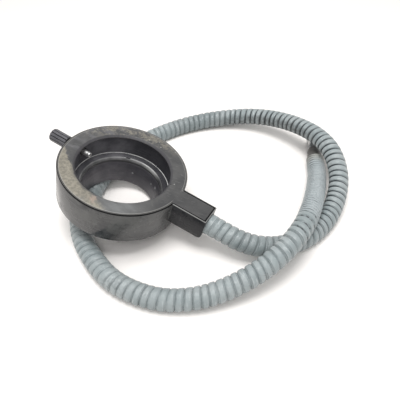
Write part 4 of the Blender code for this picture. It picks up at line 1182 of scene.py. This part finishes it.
haze_mask = ramp(tree, towards_turn(tree, local, HAZE_SIDE), 0.02, 0.034)
haze = times(tree, haze_mask, ramp(tree, wipe, 0.42, 0.62, 0.05, 0.6))
colour = tinted(tree, colour, haze, (0.13, 0.128, 0.136))
stain = times(tree, rear_mask, ramp(tree, both, 0.47, 0.56))
brown = larger(tree, brown, times(tree, stain, 0.62))
brown_colour = mix(
    tree, ramp(tree, fine, 0.35, 0.65), (0.165, 0.152, 0.122, 1), (0.275, 0.252, 0.203, 1)
)
colour = mix(tree, brown, colour, brown_colour)
colour = tinted(tree, colour, spot(tree, local, RESIDUE, 0.0032), (0.3, 0.24, 0.198), 0.9)
colour = tinted(tree, colour, used.outputs["Scratch"], (0.3, 0.3, 0.29), 0.3)
flecks = times(tree, used.outputs["Dust"], ramp(tree, brown, 0.0, 0.5, 0.55, 0.9))
colour = tinted(tree, colour, flecks, (0.5, 0.49, 0.45))
colour = tinted(tree, colour, spot(tree, local, DARK_CHIP, 0.0006), (0.008, 0.008, 0.009))
for x, y, size in CHIPS:
    colour = tinted(tree, colour, spot(tree, local, (x, y), size), (0.62, 0.62, 0.6), 0.85)
colour = tinted(tree, colour, worn.outputs["Mask"], (0.26, 0.25, 0.235), 0.4)
chamfer = ramp(tree, reach, BORE_RADIUS + BORE_CHAMFER, BORE_RADIUS + BORE_CHAMFER - 0.0004)
colour = tinted(tree, colour, chamfer, (0.05, 0.048, 0.054), 0.8)
# Painted highlight: a pale line along the plate's outer top arris, off the tongue.
edge_highlight = ramp(tree, reach, PLATE_RADIUS - 0.0007, PLATE_RADIUS - 0.0004)
edge_highlight = times(tree, edge_highlight, off_arm_edge)
colour = tinted(tree, colour, edge_highlight, (0.34, 0.335, 0.32), 0.45)
feed(tree, shader, colour, (mottle, 0.3, 0.7, 0.34, 0.5), (fine, 0.25, 0.00004))
plate = turned(
    "worn_cover_plate",
    (
        (BORE_RADIUS, PLATE_FOOT),
        (PLATE_RADIUS, PLATE_FOOT),
        (PLATE_RADIUS, BODY_HEIGHT),
        (BORE_RADIUS + BORE_CHAMFER, BODY_HEIGHT),
        (BORE_RADIUS, BODY_HEIGHT - BORE_CHAMFER),
    ),
)
tongue = block(
    "tongue", (TONGUE_START, -TONGUE_HALF, PLATE_FOOT), (TONGUE_END, TONGUE_HALF, BODY_HEIGHT)
)
joined(plate, tongue)
softened(plate, PLATE_ARRIS, 3, 40)
placed(plate, ring_pose, patina, ["cover_plate"])

# Thumbscrew
# Steel stud with a metric thread in a bush through the wall, a pad that swivels on its tip and
# grips the objective, and a fluted black knob pressed on its outer end.
STUD_RADIUS = 0.002
STUD_START = 0.0304
STUD_END = 0.0575
STUD_POINTS = 24
STUD_SIDES = 24
THREAD_PITCH = 0.0007
THREAD_DEPTH = 0.0004
PLAIN_TURNS = 6.5
THREAD_SHAPE_SHARES = ((0.0, 1.0), (0.12, 1.0), (0.5, 0.0), (0.62, 0.0))
PAD_RADIUS = 0.0019
PAD_START = 0.0285
PAD_END = 0.0303
PIN_RADIUS = 0.0007
PIN_LENGTH = 0.0013
PIN_HOLE = 0.001
PIN_HOLE_START = 0.03
PIN_HOLE_END = 0.0319
SMALL_ARRIS = 0.00012
KNOB_START = 0.0476
KNOB_END = 0.0621
KNOB_RADIUS = 0.00495
KNOB_ROUND = 0.0016
KNOB_CHAMFER = 0.0005
KNOB_ARRIS = 0.00015
KNOB_BORE = 0.0023
KNOB_BORE_START = 0.046
KNOB_BORE_END = 0.0578
FLUTES = 12
FLUTE_DEPTH = 0.0009
BUSH_BORE = 0.0023
BUSH_RADIUS = 0.003
BUSH_START = 0.0352
FLANGE_RADIUS = 0.0042
FLANGE_START = 0.0453
FLANGE_END = 0.0459

bright, tree, shader = new_finish("bright_steel", metallic=1.0)
used = use(tree, handling, {"Size": 400.0})
colour = mix(tree, used.outputs["Smudge"], (0.44, 0.44, 0.44, 1), (0.58, 0.58, 0.57, 1))
feed(tree, shader, colour, (used.outputs["Smudge"], 0.0, 1.0, 0.46, 0.56))
thread_turns = int((STUD_END - STUD_START) / THREAD_PITCH)
stud_line = np.array(
    [thumb_pose @ Vector((0, 0, reach)) for reach in np.linspace(STUD_START, STUD_END, STUD_POINTS)]
)


def thread_place(count):
    """Distance along the stud of a count of turns."""
    return count * (STUD_END - STUD_START) / thread_turns


def thread_depth(count, angle):
    """Depth of the thread, which runs out into a plain tip."""
    return THREAD_DEPTH * np.clip(np.minimum(count - PLAIN_TURNS, thread_turns - count), 0, 1)


stud = wound_tube(
    "threaded_stud",
    stud_line,
    thread_turns,
    THREAD_SHAPE_SHARES,
    thread_place,
    thread_depth,
    STUD_RADIUS,
    0,
    STUD_SIDES,
    RIGHT_HANDED,
)
pin_hole = cylinder("pin_hole", PIN_HOLE, PIN_HOLE_START, PIN_HOLE_END, thumb_pose, 32)
joined(stud, pin_hole, "DIFFERENCE")
placed(stud, Matrix.Identity(4), bright, ["thumb_stud"], "thumb_screw")

pad = turned(
    "swivel_pad",
    (
        (PAD_RADIUS, PAD_START),
        (PAD_RADIUS, PAD_END),
        (PIN_RADIUS, PAD_END),
        (PIN_RADIUS, PAD_END + PIN_LENGTH),
    ),
    48,
    hollow=False,
)
softened(pad, SMALL_ARRIS, 3, 40)
placed(pad, thumb_pose, bright, ["pressure_pad"], "screw_travel")

fluted_black, tree, shader = new_finish("fluted_black", ior=1.5)
used = use(tree, handling, {"Size": 160.0})
worn = use(tree, edge_wear, {"Reach": 0.0003, "Breakup": 700.0})
colour = mix(tree, used.outputs["Smudge"], (0.05, 0.049, 0.057, 1), (0.1, 0.098, 0.108, 1))
colour = tinted(tree, colour, worn.outputs["Mask"], (0.26, 0.26, 0.26), 0.6)
colour = tinted(tree, colour, used.outputs["Dust"], (0.35, 0.35, 0.34), 0.4)
*_, height, reach = parts_of(tree, place_in(tree, thumb_pose))
# Painted shade: the flutes are darker, away from the knob's end.
flute_shade = times(
    tree,
    ramp(tree, reach, KNOB_RADIUS - 0.00015, KNOB_RADIUS - 0.0005),
    ramp(tree, height, KNOB_END - 0.0004, KNOB_END - 0.0012),
)
colour = tinted(tree, colour, flute_shade, (0.008, 0.008, 0.009), 0.85)
feed(tree, shader, colour, (used.outputs["Smudge"], 0.0, 1.0, 0.26, 0.4))
knob = turned(
    "fluted_knob",
    (
        (KNOB_RADIUS - KNOB_CHAMFER, KNOB_START),
        (KNOB_RADIUS, KNOB_START + KNOB_CHAMFER),
        (KNOB_RADIUS, KNOB_END - KNOB_ROUND),
        (KNOB_RADIUS - 0.0002, KNOB_END - KNOB_ROUND / 2),
        (KNOB_RADIUS - 0.0006, KNOB_END - KNOB_ROUND / 4),
        (KNOB_RADIUS - 0.0013, KNOB_END),
    ),
    FLUTES * 10,
    hollow=False,
)
for vertex in knob.data.vertices:
    turn = math.atan2(vertex.co.y, vertex.co.x)
    size = math.hypot(vertex.co.x, vertex.co.y)
    if size > KNOB_RADIUS / 2:
        share = 1 - FLUTE_DEPTH / size * max(0, math.cos(FLUTES * turn)) ** 6
        vertex.co.x *= share
        vertex.co.y *= share
joined(knob, cylinder("knob_bore", KNOB_BORE, KNOB_BORE_START, KNOB_BORE_END), "DIFFERENCE")
softened(knob, KNOB_ARRIS, 2, 50)
placed(knob, thumb_pose, fluted_black, ["thumb_knob"], "thumb_screw")

bush = turned(
    "threaded_bush",
    (
        (BUSH_BORE, BUSH_START),
        (BUSH_RADIUS, BUSH_START),
        (BUSH_RADIUS, FLANGE_START),
        (FLANGE_RADIUS, FLANGE_START),
        (FLANGE_RADIUS, FLANGE_END),
        (BUSH_BORE, FLANGE_END),
    ),
    48,
)
softened(bush, SMALL_ARRIS, 2)
placed(bush, thumb_pose, oxide, ["screw_bush"])

# Floor, lights and backdrop
# A white sweep under a soft overcast room, one large soft box overhead and a weaker one in front.
floor_finish, tree, shader = new_finish("white_sweep", roughness=0.9)
path = node(tree, "ShaderNodeLightPath")
shader.inputs["Specular IOR Level"].default_value = 0.0
seen = larger(tree, path.outputs["Is Camera Ray"], path.outputs["Is Glossy Ray"])
seen = larger(tree, seen, path.outputs["Is Transmission Ray"])
feed(tree, shader, mix(tree, seen, (0.8, 0.8, 0.79, 1), (1.0, 0.965, 0.935, 1)))
bpy.ops.object.select_all(action="DESELECT")
bpy.ops.mesh.primitive_plane_add(size=6, location=(0, 0, -0.00005))
floor = bpy.context.object
floor.name = "sweep"
floor.data.materials.append(floor_finish)

world = bpy.data.worlds.new("studio")
bpy.context.scene.world = world
world.use_nodes = True
tree = world.node_tree
path = node(tree, "ShaderNodeLightPath")
plain = larger(tree, path.outputs["Is Camera Ray"], path.outputs["Is Transmission Ray"])
plain = larger(tree, plain, path.outputs["Is Glossy Ray"])
strength = ramp(tree, plain, 0.0, 1.0, 0.58, 1.0)
tree.nodes["Background"].inputs["Color"].default_value = (1, 1, 1, 1)
tree.links.new(strength, tree.nodes["Background"].inputs["Strength"])


def soft_box(name, place, aim, width, height, power):
    """A rectangular area light aimed at a point."""
    lamp = bpy.data.lights.new(name, "AREA")
    lamp.shape = "RECTANGLE"
    lamp.size = width
    lamp.size_y = height
    lamp.energy = power
    holder = bpy.data.objects.new(name, lamp)
    bpy.context.scene.collection.objects.link(holder)
    holder.location = place
    holder.rotation_euler = (Vector(aim) - Vector(place)).to_track_quat("-Z", "Y").to_euler()


soft_box("top_box", (0.03, -0.04, 1.05), (0.03, 0, 0.02), 0.52, 0.52, 7.8)
soft_box("front_fill", (0.1, -0.7, 0.9), (0.04, -0.03, 0.01), 0.7, 0.4, 1.7)
